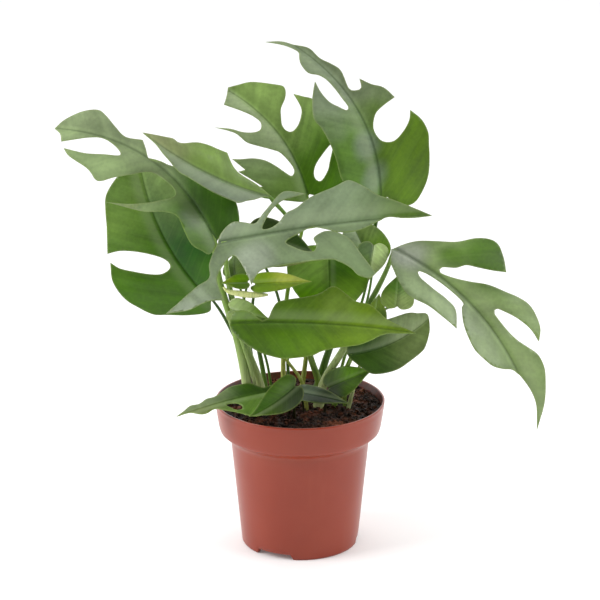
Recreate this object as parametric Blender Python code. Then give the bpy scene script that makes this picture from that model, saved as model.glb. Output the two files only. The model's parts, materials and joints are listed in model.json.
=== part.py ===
"""Potted monstera: split and whole leaves on stalks that rise from the soil of a round nursery pot."""

import math

import bmesh
import bpy
import numpy as np
from mathutils import Vector
from mathutils.geometry import delaunay_2d_cdt

MM = 0.001

# Driving dimensions, in metres. Heights are above the surface that the pot stands on.
RIM_RADIUS = 60 * MM
POT_HEIGHT = 106.5 * MM
FOOT_RADIUS = 41.5 * MM
COLLAR_HEIGHT = 22.5 * MM  # from the collar's lower edge up to the rim
COLLAR_DRAFT = 3 * MM  # how much narrower the collar is at its lower edge
COLLAR_STEP = 7.2 * MM  # how far the collar stands out from the body under it
COLLAR_EDGE = 2 * MM  # size of the slant on the collar's lower edge
SHOULDER_DEPTH = 4.3 * MM  # height of the slope that joins the collar to the body
POT_WALL = 1.5 * MM
BASE_HEIGHT = 5.5 * MM  # underside of the raised base plate
FOOT_ARCH_HEIGHT = 4 * MM
FOOT_ARCH_WIDTH = 29 * MM
FOOT_ARCHES = 3
FOOT_ARCH_TURN = 63  # degrees that the arches are turned about the pot's axis
FOOT_RING = 2.2 * MM  # how thick the ring that the pot stands on is
DRAIN_RADIUS = 4 * MM
DRAIN_CIRCLE = 0.6  # where the drain holes lie, as a share of the foot's radius
DRAIN_HOLES = 6
FLOOR_SLOPE = 3 * MM  # size of the slanting corner between the base plate and the wall
RIM_EDGE = 0.6 * MM  # size of the small slants on the rim and the foot
SOIL_BELOW_RIM = 5 * MM
CLEARANCE = 0.3 * MM
BLADE_THICKNESS = 0.7 * MM
RIB_WIDTH = 0.02  # half width of the soft bend along the midrib, as a share of the blade's length
BLADE_GRID = 8.5 * MM  # spacing of the inner points of a blade
EDGE_STEP = 5.5 * MM  # longest step along a blade's margin
STALK_TAPER = 1.6  # above 1, a stalk keeps its thickness for longer before it narrows
STALK_SIDES = 7

SOIL_LEVEL = POT_HEIGHT - SOIL_BELOW_RIM
CROWN_BELOW_RIM = 10 * MM  # leaf and stalk heights are measured from the crown, just under the soil
CROWN_LEVEL = POT_HEIGHT - CROWN_BELOW_RIM
TURNS = 72
SHARP = True

# A heart-shaped blade of half width 1: how far along it (percent), and how wide it is there.
HEART_HALF = [(-7, 0.30), (-3, 0.72), (9, 0.97), (28, 1.0), (48, 0.86), (68, 0.55), (85, 0.22)]

# Margins of the cut leaves in percent of the blade's length: distance along the midrib from the
# stalk, and distance to its left. A point marked SHARP is the tip of a lobe or the foot of a slit.
MARGIN_UPPER_LEFT = [
    (0, -4, SHARP), (-1, 7), (4, 10), (10, 12), (17, 10), (24, 7), (31, 10), (40, 17),
    (57, 24, SHARP), (48, 18.5), (41, 12.5), (36, 7), (31, 0), (33, -3), (40, -3.5), (48, -2),
    (55, 5), (61, 11), (65, 16), (68, 17), (74, 14), (85, 12), (90, 9, SHARP), (80, 7),
    (72, 3), (65, -1), (69, -4), (77, -5), (83, -2), (88, 2), (93, 6, SHARP), (96, 2),
    (100, 0, SHARP), (98, -6), (93, -13), (87, -17), (82, -16), (75, -13), (68, -11),
    (60, -14, SHARP), (56, -11), (52, -8), (46, -10), (38, -13), (30, -20), (20, -22),
    (10, -22), (3, -21), (-4, -15), (-1, -9)]
MARGIN_LOWER_LEFT = [
    (-5, 0, SHARP), (-10, 4), (-6, 17), (0, 29), (5, 38), (15, 45), (22, 49), (30, 51),
    (38, 51), (48, 47, SHARP), (42, 43), (36, 35), (30, 26), (27, 19), (28, 13), (32, 12),
    (38, 16), (46, 26), (52, 37), (54, 46, SHARP), (70, 38), (80, 34), (88, 30), (94, 22),
    (100, 9), (103, 0, SHARP), (92, -14), (78, -22), (60, -26), (40, -26), (22, -20), (6, -11)]
MARGIN_LONG_LEFT = [
    (0, 0, SHARP), (7, 4), (13, 10), (19, 15), (23, 19), (27, 20.5), (45, 22), (63, 20),
    (70, 19), (77, 14), (83, 10), (89, 5), (95, 2), (100, 0, SHARP), (86, -2), (80, -3),
    (76, -2), (72, -3), (65, -7), (58, -9), (50, -9.5), (43, -10, SHARP), (38, -5), (33, -2),
    (27, -1), (14, -1)]
MARGIN_TOP_CENTRE = [
    (2, -2, SHARP), (0, 4), (7, 14), (12, 20), (18, 26), (30, 31, SHARP), (27, 26, SHARP),
    (46, 35, SHARP), (44, 30, SHARP), (56, 33, SHARP), (52, 28), (47, 20), (41, 14), (34, 10),
    (27, 7), (21, 4), (21, 1), (25, -1), (38, 1), (44, 5), (50, 10), (55, 14), (60, 17),
    (70, 19), (82, 27, SHARP), (74, 19), (68, 15), (64, 11), (61, 6), (61, 2), (65, -1),
    (71, 0), (78, 3), (91, 10, SHARP), (95, 4), (100, -2, SHARP), (97, -8), (93, -16),
    (87, -22), (80, -28), (76, -31), (72, -30), (68, -26), (64, -19), (59, -15), (54, -12),
    (49, -12), (46, -15), (47, -21), (51, -27), (56, -31), (67, -33, SHARP), (62, -37),
    (56, -42), (46, -46), (32, -45), (18, -43), (8, -40), (1, -37), (-6, -31), (-8, -24),
    (-5, -10)]
HOLE_TOP_CENTRE = [(5, -14), (9, -11), (14, -13), (18, -19), (22, -33), (19, -33), (13, -27), (8, -22)]
MARGIN_TOP_RIGHT = [
    (0, -4, SHARP), (-4, 1), (7, 13), (15, 16), (24, 20), (34, 19), (45, 18), (55, 18),
    (62, 19), (70, 15), (75, 11), (80, 6, SHARP), (73, 7), (66, 6), (61, 3), (57, 0), (58, -2),
    (64, -1.5), (72, -1), (78, 0), (82, 2), (86, 6), (92, 6), (96, 4), (99, 2), (104, 4),
    (108, 7), (113, 12, SHARP), (109, 5), (104, 1), (98, -4), (90, -5), (84, -8), (78, -10),
    (67, -8), (64, -11), (64, -14), (69, -16, SHARP), (63, -20), (58, -25), (50, -28, SHARP),
    (49, -20), (47, -14), (42, -10), (37, -9), (31, -11), (28, -17), (30, -24), (34, -30),
    (39, -33, SHARP), (31, -37), (23, -38), (16, -36), (9, -34), (0, -31), (-7, -26),
    (-11, -20), (-9, -12)]
MARGIN_CENTRE = [
    (-2, -2), (0, 3), (4, 7), (8, 9), (13, 8), (18, 7), (22, 11), (27, 16), (31, 20), (35, 21),
    (43, 18.5, SHARP), (37, 17.5), (32, 16.5), (27, 13), (23, 8), (21, 4), (25, 4), (29, 6),
    (33, 10), (38, 12), (45, 16.5), (56, 20), (61, 22), (64, 22), (70, 18), (76, 13), (84, 9),
    (100, 0, SHARP), (92, 0), (85, 1), (80, 2), (76, 1), (68, -3), (62, -4), (56, -3), (50, 0),
    (44, 2), (38, -1), (32, -5), (36, -9), (41, -12), (45, -12.5), (46, -9), (45, -5),
    (49, -2), (53, -2), (57, -4), (62, -9), (66, -17), (72, -28, SHARP), (69, -30), (64, -28),
    (61, -24), (56, -20), (50, -18), (27, -18), (20, -19), (17, -22), (15, -26, SHARP),
    (13, -20), (10, -13), (7, -9), (3, -12), (-1, -20), (0, -27), (2, -33, SHARP), (-6, -33),
    (-15, -36), (-28, -36, SHARP), (-19, -30), (-11, -24), (-5, -20), (-5, -12)]
MARGIN_RIGHT = [
    (0, -1, SHARP), (2, 4), (5, 9), (10, 14), (16, 20), (20, 27), (24, 31), (28, 32), (33, 30),
    (39, 26, SHARP), (35, 22), (30, 18), (26, 15), (24, 11), (20, 7), (21, 5), (26, 7),
    (32, 11), (38, 16), (45, 20), (50, 23), (55, 25), (60, 25), (66, 23), (70, 19, SHARP),
    (64, 19), (57, 17), (51, 14), (48, 12), (49, 10), (57, 10), (63, 11), (68, 13), (74, 15.5),
    (80, 15), (86, 12), (92, 8), (97, 3), (100, 0, SHARP), (95, 2.5), (90, 4.5), (84, 5),
    (76, 4), (72, 2), (69, -2), (65, -6), (60, -8), (54, -9), (47, -7), (42, -4), (38, 0),
    (36, 2.5), (22, 1), (15, -1.5), (17, -4), (24, -4), (31, -3), (37, -3.5), (43, -9.5, SHARP),
    (36, -10.5), (28, -12), (20, -15), (14, -13.5), (8, -10), (4, -7)]
MARGIN_FRONT = [
    (2, 1, SHARP), (6, 3), (8, 8), (11, 13), (17, 15), (31, 18), (38, 21), (43, 25), (46, 26),
    (50, 24), (55, 20), (61, 16), (69, 15), (75, 11), (80, 7), (87, 4), (100, 0, SHARP),
    (90, -2), (83, -3), (77, -6), (72, -10), (65, -14), (58, -16), (50, -18), (42, -21),
    (35, -25), (20, -27), (10, -25), (2, -22), (-6, -17), (-13, -11), (-18, -4), (-19, 2),
    (-17, 7), (-13, 8), (-7, 7)]
MARGIN_ROUND = [
    (-1, -5, SHARP), (-2, 5), (12, 20), (30, 24), (45, 22), (57, 19), (80, 16), (90, 11),
    (100, 5), (96, -10), (91, -18), (85, -25), (77, -31), (57, -36), (45, -38), (33, -37),
    (22, -34), (14, -30), (8, -22)]
MARGIN_RIM = [
    (-2, 0), (0, 10), (4, 22), (12, 32), (20, 32), (28, 30), (37, 24), (54, 13), (62, 8),
    (70, 11), (77, 9), (87, 1), (100, 0, SHARP), (91, -3), (84, -6), (75, -5), (67, -8),
    (58, -8), (43, -14), (31, -14), (23, -13), (18, -10), (11, -5), (3, -6)]
HOLE_RIM = [(35, 15), (36, 18), (41, 18), (46, 13), (50, 7), (46, 6), (39, 9)]


def heart(half_width):
    """Margin of an unsplit blade, as wide as half_width percent of its length on each side."""
    left = [(along, share * half_width) for along, share in HEART_HALF]
    right = [(along, -across) for along, across in reversed(left)]
    return [(2, 0, SHARP)] + left + [(100, 0, SHARP)] + right


# Leaves. foot is the blade's stalk end and tip its far end, in millimetres from the pot's axis
# and above the crown. face is the way its upper side looks, droop is its bend along the midrib and
# fold the slope of its two halves, in degrees. curl rolls the halves down and sweep bows the
# whole blade to the left, in percent; bow moves the midrib alone to the left of the line from foot
# to tip. stalk holds the stalk's radius at the soil and its route.
LEAVES = {
    "leaf_upper_left": dict(
        foot=(-58, -12, 130), tip=(-168, 0, 207), face=(-0.2, -0.8, 0.7), droop=25, fold=8,
        curl=10, sweep=-6, bow=-8, margin=MARGIN_UPPER_LEFT, colour=(0.23, 0.33, 0.10),
        stalk=(3.4, [(-34, -17, 0), (-37, -19, 27), (-43.5, -20, 62), (-55, -16, 100)])),
    "leaf_lower_left": dict(
        foot=(-65, 8, 84), tip=(-112, 25, 178), face=(-0.3, -1, 0.5), droop=25, fold=6,
        curl=10, sweep=0, bow=7, margin=MARGIN_LOWER_LEFT, colour=(0.08, 0.20, 0.02),
        stalk=(1.4, [(-26, 8, 0), (-36, 9, 30), (-52, 12, 64), (-61, 14, 78)])),
    "leaf_long_left": dict(
        foot=(-19, 0, 158), tip=(-107, -15, 208), face=(0.1, -0.8, 0.8), droop=25, fold=12,
        curl=10, sweep=0, bow=9, margin=MARGIN_LONG_LEFT, colour=(0.20, 0.26, 0.14),
        stalk=(2.3, [(17, 5, 0), (13, 5, 22), (6, 6, 46), (0, 8, 95), (-5, 8, 134)])),
    "leaf_top_centre": dict(
        foot=(6, 58, 141), tip=(-53, 82, 215), face=(0.1, -1, 0.5), droop=25, fold=6,
        curl=10, sweep=-4, bow=-6, margin=MARGIN_TOP_CENTRE, hole=HOLE_TOP_CENTRE,
        colour=(0.14, 0.26, 0.02),
        stalk=(2.0, [(-10, 17, 0), (-12, 21, 30), (-9, 36, 77), (2, 56, 120)])),
    "leaf_top_right": dict(
        foot=(56, 15, 152), tip=(0, 20, 258), face=(0.1, -1, 0.4), droop=25, fold=8,
        curl=8, sweep=-6, bow=-6, margin=MARGIN_TOP_RIGHT, colour=(0.12, 0.22, 0.08),
        stalk=(2.6, [(9, 10, 0), (15, 11, 24), (22, 13, 46), (37, 18, 84), (51, 25, 122)])),
    "leaf_centre": dict(
        foot=(-54, -35, 136), tip=(89, -45, 158), face=(0, -0.8, 0.8), droop=25, fold=10,
        curl=10, sweep=-3, bow=2, margin=MARGIN_CENTRE, colour=(0.29, 0.38, 0.22),
        stalk=(3.1, [(-26, -11, 0), (-28, -11, 24), (-38, -12, 54), (-48, -16, 94)])),
    "leaf_right": dict(
        foot=(64, -15, 126), tip=(164, -45, 3), face=(0.4, -0.9, 0.6), droop=35, fold=10,
        curl=10, sweep=4, bow=5, margin=MARGIN_RIGHT, colour=(0.22, 0.32, 0.16),
        stalk=(2.7, [(12, -4, 0), (17, -3, 24), (30, 0, 46), (46, 0, 76), (58, -5, 102)])),
    "leaf_front": dict(
        foot=(-28, -42, 81), tip=(79, -50, 76), face=(0, -0.8, 0.8), droop=20, fold=8,
        curl=10, sweep=0, margin=MARGIN_FRONT, colour=(0.10, 0.22, 0.02),
        stalk=(1.3, [(5, -8, 0), (2, -9, 24), (-8, -14, 42), (-19, -25, 60)])),
    "leaf_round_right": dict(
        foot=(35, -15, 48), tip=(90, -12, 74), face=(0.2, -1, 0.5), droop=15, fold=5,
        curl=10, sweep=0, bow=-8, margin=MARGIN_ROUND, colour=(0.07, 0.12, 0.05),
        stalk=(1.6, [(23, -2, 0), (29, -5, 26), (33, -8, 38)])),
    "leaf_over_rim": dict(
        foot=(-17, -29, 27), tip=(-86, -36, 10), face=(0, -0.5, 1), droop=15, fold=10,
        curl=15, sweep=0, margin=MARGIN_RIM, hole=HOLE_RIM, colour=(0.08, 0.17, 0.03),
        stalk=(1.2, [(-8, -21, 0), (-8, -21, 14)])),
    "leaf_front_low": dict(
        foot=(-3, -36, 33), tip=(-35, -57, 18), face=(0, -1, 0.4), droop=12, fold=6,
        curl=10, sweep=4, margin=heart(27), colour=(0.08, 0.19, 0.03),
        stalk=(1.2, [(-4, -24, 0), (-4, -30, 19)])),
    "leaf_behind_centre": dict(
        foot=(20, 2, 119), tip=(21, -8, 64), face=(0, -1, 0.3), droop=15, fold=6,
        curl=10, sweep=0, margin=heart(52), colour=(0.06, 0.15, 0.02),
        stalk=(2.2, [(0, 12, 0), (3, 13, 26), (10, 14, 80), (17, 13, 112)])),
    "leaf_shaded": dict(
        foot=(-34, -5, 131), tip=(15, -11, 116), face=(0, -1, 0.4), droop=12, fold=6,
        curl=10, sweep=0, margin=heart(32), colour=(0.05, 0.10, 0.02),
        stalk=(1.2, [(-8, 4, 0), (-9, 3, 40), (-15, 1, 84), (-27, 0, 114)])),
    "leaf_back_right": dict(
        foot=(50, 13, 106), tip=(32, 17, 143), face=(0.2, -1, 0.5), droop=10, fold=6,
        curl=10, sweep=0, margin=heart(44), colour=(0.07, 0.16, 0.02),
        stalk=(1.3, [(25, 13, 0), (30, 14, 30), (45, 20, 80)])),
    "leaf_under_right": dict(
        foot=(67, -16, 84), tip=(69, -14, 108), face=(0, -1, 0.5), droop=10, fold=6,
        curl=10, sweep=0, margin=heart(48), colour=(0.10, 0.20, 0.03),
        stalk=(1.1, [(28, 8, 0), (34, 10, 30), (55, 6, 70)])),
    "leaf_dark_left": dict(
        foot=(-45, 2, 101), tip=(-46, 0, 117), face=(0, -1, 0.3), droop=10, fold=8,
        curl=10, sweep=0, margin=heart(54), colour=(0.04, 0.09, 0.02),
        stalk=(1.0, [(-19, 10, 0), (-24, 10, 36), (-38, 7, 78)])),
    "leaf_small_grey": dict(
        foot=(51, -11, 127), tip=(47, -21, 104), face=(0, -1, 0.5), droop=10, fold=10,
        curl=10, sweep=0, margin=heart(43), colour=(0.25, 0.32, 0.22),
        stalk=(1.0, [(31, -4, 0), (35, -5, 40), (48, -9, 92)])),
    "leaf_small_yellow": dict(
        foot=(52, -8, 69), tip=(55, -12, 92), face=(0, -1, 0.5), droop=10, fold=10,
        curl=10, sweep=0, margin=heart(34), colour=(0.25, 0.36, 0.05),
        stalk=(1.1, [(33, -5, 0), (42, -4, 36), (50, -4, 60)])),
    "leaf_small_left": dict(
        foot=(-48, -26, 85), tip=(-20, -34, 80), face=(0, -1, 0.2), droop=10, fold=8,
        curl=10, sweep=0, margin=heart(32), colour=(0.20, 0.30, 0.12),
        stalk=(1.2, [(-29, -20, 0), (-32, -20, 30), (-43, -26, 70)])),
    "leaf_low_right": dict(
        foot=(20, -14, 23), tip=(51, -17, 38), face=(-0.2, -0.8, 0.8), droop=10, fold=6,
        curl=10, sweep=0, margin=heart(34), colour=(0.05, 0.11, 0.03),
        stalk=(1.2, [(17, -15, 0), (18, -15, 11)])),
    "leaf_on_soil": dict(
        foot=(-1, -20, 22), tip=(35, -32, 18), face=(0, -0.7, 1), droop=8, fold=10,
        curl=10, sweep=0, margin=heart(19), colour=(0.12, 0.15, 0.12),
        stalk=(1.0, [(3, -15, 0), (2, -15, 12)])),
    "new_leaf_right": dict(
        foot=(-31, -22, 102), tip=(8, -28, 106), face=(0, -0.8, 0.8), droop=10, fold=14,
        curl=10, sweep=0, margin=heart(20), colour=(0.22, 0.36, 0.03),
        stalk=(1.5, [(-22, 0, 0), (-26, 0, 30), (-33, -7, 75)])),
    "new_leaf_left": dict(
        foot=(-36, -23, 104), tip=(-54, -25, 104), face=(0, -0.8, 0.8), droop=10, fold=14,
        curl=10, sweep=0, margin=heart(34), colour=(0.22, 0.36, 0.03),
        stalk=(1.2, [(-30, 1, 0), (-33, 0, 36), (-39, -8, 78)])),
}


def clear_scene():
    for obj in list(bpy.data.objects):
        bpy.data.objects.remove(obj)


def plain_material(name, colour, roughness=0.5):
    material = bpy.data.materials.new(name)
    material.use_nodes = True
    shader = material.node_tree.nodes["Principled BSDF"]
    shader.inputs["Base Color"].default_value = (*colour, 1)
    shader.inputs["Roughness"].default_value = roughness
    shader.inputs["Metallic"].default_value = 0
    return material


def mesh_object(name, mesh_source, material, smooth_below=35):
    """An object from a bmesh, its outside facing out, shaded smooth but for edges sharper than the angle."""
    bmesh.ops.recalc_face_normals(mesh_source, faces=mesh_source.faces)
    mesh = bpy.data.meshes.new(name)
    mesh_source.to_mesh(mesh)
    mesh_source.free()
    mesh.shade_smooth()
    mesh.set_sharp_from_angle(angle=math.radians(smooth_below))
    obj = bpy.data.objects.new(name, mesh)
    obj.data.materials.append(material)
    bpy.context.scene.collection.objects.link(obj)
    return obj


def turned(name, profile, material):
    """A solid turned about the Z axis from (radius, height) points that start and end on the axis."""
    solid = bmesh.new()
    points = [solid.verts.new((radius, 0, height)) for radius, height in profile]
    edges = [solid.edges.new(pair) for pair in zip(points, points[1:])]
    bmesh.ops.spin(
        solid, geom=points + edges, cent=(0, 0, 0), axis=(0, 0, 1),
        angle=math.tau, steps=TURNS, use_merge=True)
    bmesh.ops.remove_doubles(solid, verts=solid.verts, dist=0.01 * MM)
    return mesh_object(name, solid, material)


def body_radius(height):
    """Outer radius of the pot's body, which widens straight up from the foot to under the collar."""
    collar_base = POT_HEIGHT - COLLAR_HEIGHT
    under_collar = RIM_RADIUS - COLLAR_DRAFT - COLLAR_STEP
    return FOOT_RADIUS + (under_collar - FOOT_RADIUS) * height / collar_base


def inner_wall():
    """(radius, height) of the pot's inner face, from the base plate up to the rim."""
    collar_base = POT_HEIGHT - COLLAR_HEIGHT
    shoulder = collar_base - SHOULDER_DEPTH
    floor = BASE_HEIGHT + POT_WALL
    return [
        (body_radius(floor) - POT_WALL - FLOOR_SLOPE, floor),
        (body_radius(floor + FLOOR_SLOPE) - POT_WALL, floor + FLOOR_SLOPE),
        (body_radius(shoulder) - POT_WALL, shoulder),
        (RIM_RADIUS - COLLAR_DRAFT - POT_WALL - COLLAR_EDGE, collar_base + POT_WALL),
        (RIM_RADIUS - COLLAR_DRAFT - POT_WALL, collar_base + POT_WALL + COLLAR_EDGE),
        (RIM_RADIUS - POT_WALL, POT_HEIGHT - RIM_EDGE),
    ]


def foot_cutter(name, location, size, turn):
    bpy.ops.mesh.primitive_cube_add(size=1, location=location, rotation=(0, 0, turn), scale=size)
    cutter = bpy.context.object
    cutter.name = name
    return cutter


def cut(obj, cutter):
    cutter.hide_render = True
    cutter.display_type = "WIRE"
    modifier = obj.modifiers.new(cutter.name, "BOOLEAN")
    modifier.operation = "DIFFERENCE"
    modifier.solver = "EXACT"
    modifier.object = cutter


def make_pot():
    collar_base = POT_HEIGHT - COLLAR_HEIGHT
    shoulder = collar_base - SHOULDER_DEPTH
    foot_inside = FOOT_RADIUS - FOOT_RING
    outside = [
        (0, BASE_HEIGHT),
        (foot_inside - FLOOR_SLOPE, BASE_HEIGHT),
        (foot_inside, 0),
        (FOOT_RADIUS - RIM_EDGE, 0),
        (body_radius(2 * RIM_EDGE), 2 * RIM_EDGE),
        (body_radius(shoulder), shoulder),
        (RIM_RADIUS - COLLAR_DRAFT - COLLAR_EDGE, collar_base),
        (RIM_RADIUS - COLLAR_DRAFT, collar_base + COLLAR_EDGE),
        (RIM_RADIUS, POT_HEIGHT - RIM_EDGE),
        (RIM_RADIUS - RIM_EDGE, POT_HEIGHT),
        (RIM_RADIUS - POT_WALL + RIM_EDGE, POT_HEIGHT),
    ]
    inside = list(reversed(inner_wall())) + [(0, BASE_HEIGHT + POT_WALL)]
    pot = turned("pot", outside + inside, plain_material("pot_plastic", (0.32, 0.085, 0.055), 0.42))
    for arch in range(FOOT_ARCHES):
        turn = math.tau * (arch + 0.5) / FOOT_ARCHES + math.radians(FOOT_ARCH_TURN)
        middle = (FOOT_RADIUS * math.cos(turn), FOOT_RADIUS * math.sin(turn), 0)
        size = (12 * MM, FOOT_ARCH_WIDTH, 2 * FOOT_ARCH_HEIGHT)
        cut(pot, foot_cutter(f"cutter_arch_{arch}", middle, size, turn))
    for hole in range(DRAIN_HOLES):
        turn = math.tau * (hole + 0.12) / DRAIN_HOLES
        bpy.ops.mesh.primitive_cylinder_add(
            vertices=16, radius=DRAIN_RADIUS, depth=6 * POT_WALL,
            location=(DRAIN_CIRCLE * FOOT_RADIUS * math.cos(turn),
                      DRAIN_CIRCLE * FOOT_RADIUS * math.sin(turn), BASE_HEIGHT + POT_WALL / 2))
        bpy.context.object.name = f"cutter_drain_{hole}"
        cut(pot, bpy.context.object)
    return pot


def make_soil():
    """The root ball and the peat around it, filling the pot up to the soil level."""
    wall = inner_wall()
    profile = [(0, wall[0][1] + CLEARANCE)]
    for radius, height in wall[:-1]:
        profile.append((radius - CLEARANCE, height + CLEARANCE))
    share = (SOIL_LEVEL - wall[-2][1]) / (wall[-1][1] - wall[-2][1])
    top_radius = wall[-2][0] + share * (wall[-1][0] - wall[-2][0]) - CLEARANCE
    profile += [(top_radius, SOIL_LEVEL), (0, SOIL_LEVEL)]
    return turned("soil", profile, plain_material("peat", (0.03, 0.015, 0.01), 0.95))


def above_crown(point):
    """A place given in millimetres from the pot's axis and above the crown, in metres."""
    return Vector((point[0] * MM, point[1] * MM, CROWN_LEVEL + point[2] * MM))


def blade_surface(leaf):
    """A function from (percent along, percent across) to a place on the blade."""
    foot = above_crown(leaf["foot"])
    chord = above_crown(leaf["tip"]) - foot
    bend = math.radians(leaf["droop"])
    length = chord.length * (bend / 2) / math.sin(bend / 2)
    straight = chord.normalized()
    facing = Vector(leaf["face"])
    facing = (facing - facing.dot(straight) * straight).normalized()
    along = math.cos(bend / 2) * straight + math.sin(bend / 2) * facing
    up = math.cos(bend / 2) * facing - math.sin(bend / 2) * straight
    left = up.cross(along)
    fold = math.radians(leaf["fold"])
    curl = math.radians(leaf["curl"])

    def place(percent_along, percent_across):
        s = percent_along / 100
        arc = 4 * s * (1 - s) / 100
        w = percent_across / 100 - leaf.get("bow", 0) * arc
        rise = math.sin(fold) * (math.hypot(w, RIB_WIDTH) - RIB_WIDTH) - curl * w * w
        across = w * math.cos(fold) + (leaf["sweep"] + leaf.get("bow", 0)) * arc
        forward = math.sin(bend * s) / bend + rise * math.sin(bend * s)
        height = (math.cos(bend * s) - 1) / bend + rise * math.cos(bend * s)
        return foot + length * (forward * along + across * left + height * up)

    return place, length


def smooth_margin(points, step):
    """The closed margin through the points, smooth but at the SHARP ones, in steps of about step percent."""
    count = len(points)
    flat = [Vector(point[:2]) for point in points]
    sharp = [len(point) > 2 for point in points]
    margin = []
    for i in range(count):
        start, end = flat[i], flat[(i + 1) % count]
        before, after = flat[i - 1], flat[(i + 2) % count]
        leave = (end - start) / 3 if sharp[i] else (end - before) / 6
        arrive = (end - start) / 3 if sharp[(i + 1) % count] else (after - start) / 6
        pieces = max(1, round((end - start).length / step))
        for k in range(pieces):
            t = k / pieces
            margin.append(
                (1 - t) ** 3 * start + 3 * (1 - t) ** 2 * t * (start + leave)
                + 3 * (1 - t) * t ** 2 * (end - arrive) + t ** 3 * end)
    return margin


def inside_loop(point, loop):
    """True if the point lies inside the closed loop."""
    within = False
    for a, b in zip(loop, loop[1:] + loop[:1]):
        if (a.y > point.y) != (b.y > point.y):
            if point.x < a.x + (b.x - a.x) * (point.y - a.y) / (b.y - a.y):
                within = not within
    return within


def blade_triangles(loops, spacing):
    """Flat points and triangles that fill the first loop and leave the others open."""
    edge_points = [point for loop in loops for point in loop]
    edges = []
    for loop in loops:
        first = len(edges)
        edges += [(first + i, first + (i + 1) % len(loop)) for i in range(len(loop))]
    near = np.array(edge_points)
    inner = []
    rows = np.arange(near[:, 1].min(), near[:, 1].max(), spacing * 0.87)
    for row, across in enumerate(rows):
        for along in np.arange(near[:, 0].min() + spacing / 2 * (row % 2), near[:, 0].max(), spacing):
            gaps = np.hypot(near[:, 0] - along, near[:, 1] - across)
            point = Vector((along, across))
            if gaps.min() > 0.6 * spacing and sum(inside_loop(point, loop) for loop in loops) == 1:
                inner.append(point)
    points, _, triangles, *_ = delaunay_2d_cdt(edge_points + inner, edges, [], 0, 1e-5)
    kept = []
    for triangle in triangles:
        middle = sum((points[i] for i in triangle), Vector((0, 0))) / 3
        if sum(inside_loop(middle, loop) for loop in loops) == 1:
            kept.append(triangle)
    return points, kept


def make_blade(name, leaf):
    place, length = blade_surface(leaf)
    percent = 100 / length
    loops = [smooth_margin(leaf["margin"], EDGE_STEP * percent)]
    if "hole" in leaf:
        loops.append(smooth_margin(leaf["hole"], EDGE_STEP * percent))
    points, triangles = blade_triangles(loops, min(BLADE_GRID, length / 5) * percent)
    blade = bmesh.new()
    sides = []
    for side in (0.5, -0.5):
        row = []
        for point in points:
            here = place(point.x, point.y)
            slope_along = place(point.x + 0.5, point.y) - here
            slope_across = place(point.x, point.y + 0.5) - here
            normal = slope_along.cross(slope_across).normalized()
            row.append(blade.verts.new(here + side * BLADE_THICKNESS * normal))
        sides.append(row)
    top, bottom = sides
    uses = {}
    for triangle in triangles:
        blade.faces.new([top[i] for i in triangle])
        blade.faces.new([bottom[i] for i in reversed(triangle)])
        for a, b in zip(triangle, list(triangle[1:]) + [triangle[0]]):
            uses.setdefault(frozenset((a, b)), []).append((a, b))
    for used in uses.values():
        if len(used) == 1:
            a, b = used[0]
            blade.faces.new((top[b], top[a], bottom[a], bottom[b]))
    loose = [vert for vert in blade.verts if not vert.link_faces]
    bmesh.ops.delete(blade, geom=loose, context="VERTS")
    return mesh_object(name, blade, plain_material(name, leaf["colour"], 0.4))


def smooth_route(stations, pieces):
    """Points along the smooth curve through the stations."""
    route = []
    ends = [2 * stations[0] - stations[1]] + stations + [2 * stations[-1] - stations[-2]]
    for before, start, end, after in zip(ends, ends[1:], ends[2:], ends[3:]):
        for k in range(pieces):
            t = k / pieces
            route.append(0.5 * (
                2 * start + (end - before) * t + (2 * before - 5 * start + 4 * end - after) * t ** 2
                + (3 * start - before - 3 * end + after) * t ** 3))
    return route + [stations[-1]]


def make_stalk(name, leaf):
    """A tapering stalk from just above the soil to just short of the blade's underside."""
    place, _ = blade_surface(leaf)
    foot = place(1, 0)
    under = (place(1, 1) - foot).cross(place(2, 0) - foot).normalized()
    thick, stations = leaf["stalk"]
    thin = max(0.45 * thick, 0.7) * MM
    thick = thick * MM
    end = foot + under * (BLADE_THICKNESS / 2 + CLEARANCE + thin)
    stations = [above_crown(station) for station in stations]
    stations[0].z = SOIL_LEVEL + CLEARANCE
    route = smooth_route(stations + [end], 4)
    stalk = bmesh.new()
    rings = []
    side = Vector((1, 0, 0))
    for i, point in enumerate(route):
        direction = (route[min(i + 1, len(route) - 1)] - route[max(i - 1, 0)]).normalized()
        if i == 0:
            direction = Vector((0, 0, 1))
        side = (side - side.dot(direction) * direction).normalized()
        other = direction.cross(side)
        radius = thick + (thin - thick) * (i / (len(route) - 1)) ** STALK_TAPER
        ring = []
        for k in range(STALK_SIDES):
            turn = math.tau * k / STALK_SIDES
            ring.append(stalk.verts.new(point + radius * (math.cos(turn) * side + math.sin(turn) * other)))
        rings.append(ring)
    for lower, upper in zip(rings, rings[1:]):
        for k in range(STALK_SIDES):
            after = (k + 1) % STALK_SIDES
            stalk.faces.new((lower[k], lower[after], upper[after], upper[k]))
    stalk.faces.new(list(reversed(rings[0])))
    stalk.faces.new(rings[-1])
    return mesh_object(name, stalk, plain_material(name, (0.12, 0.22, 0.04), 0.45))


clear_scene()
make_pot()
make_soil()
for leaf_name, leaf_design in LEAVES.items():
    make_blade(leaf_name, leaf_design)
    make_stalk(leaf_name.replace("leaf", "stalk"), leaf_design)
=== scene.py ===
import json
import math
import random

import bmesh
import bpy
from mathutils import Matrix, Vector, noise
from mathutils.kdtree import KDTree

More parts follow.
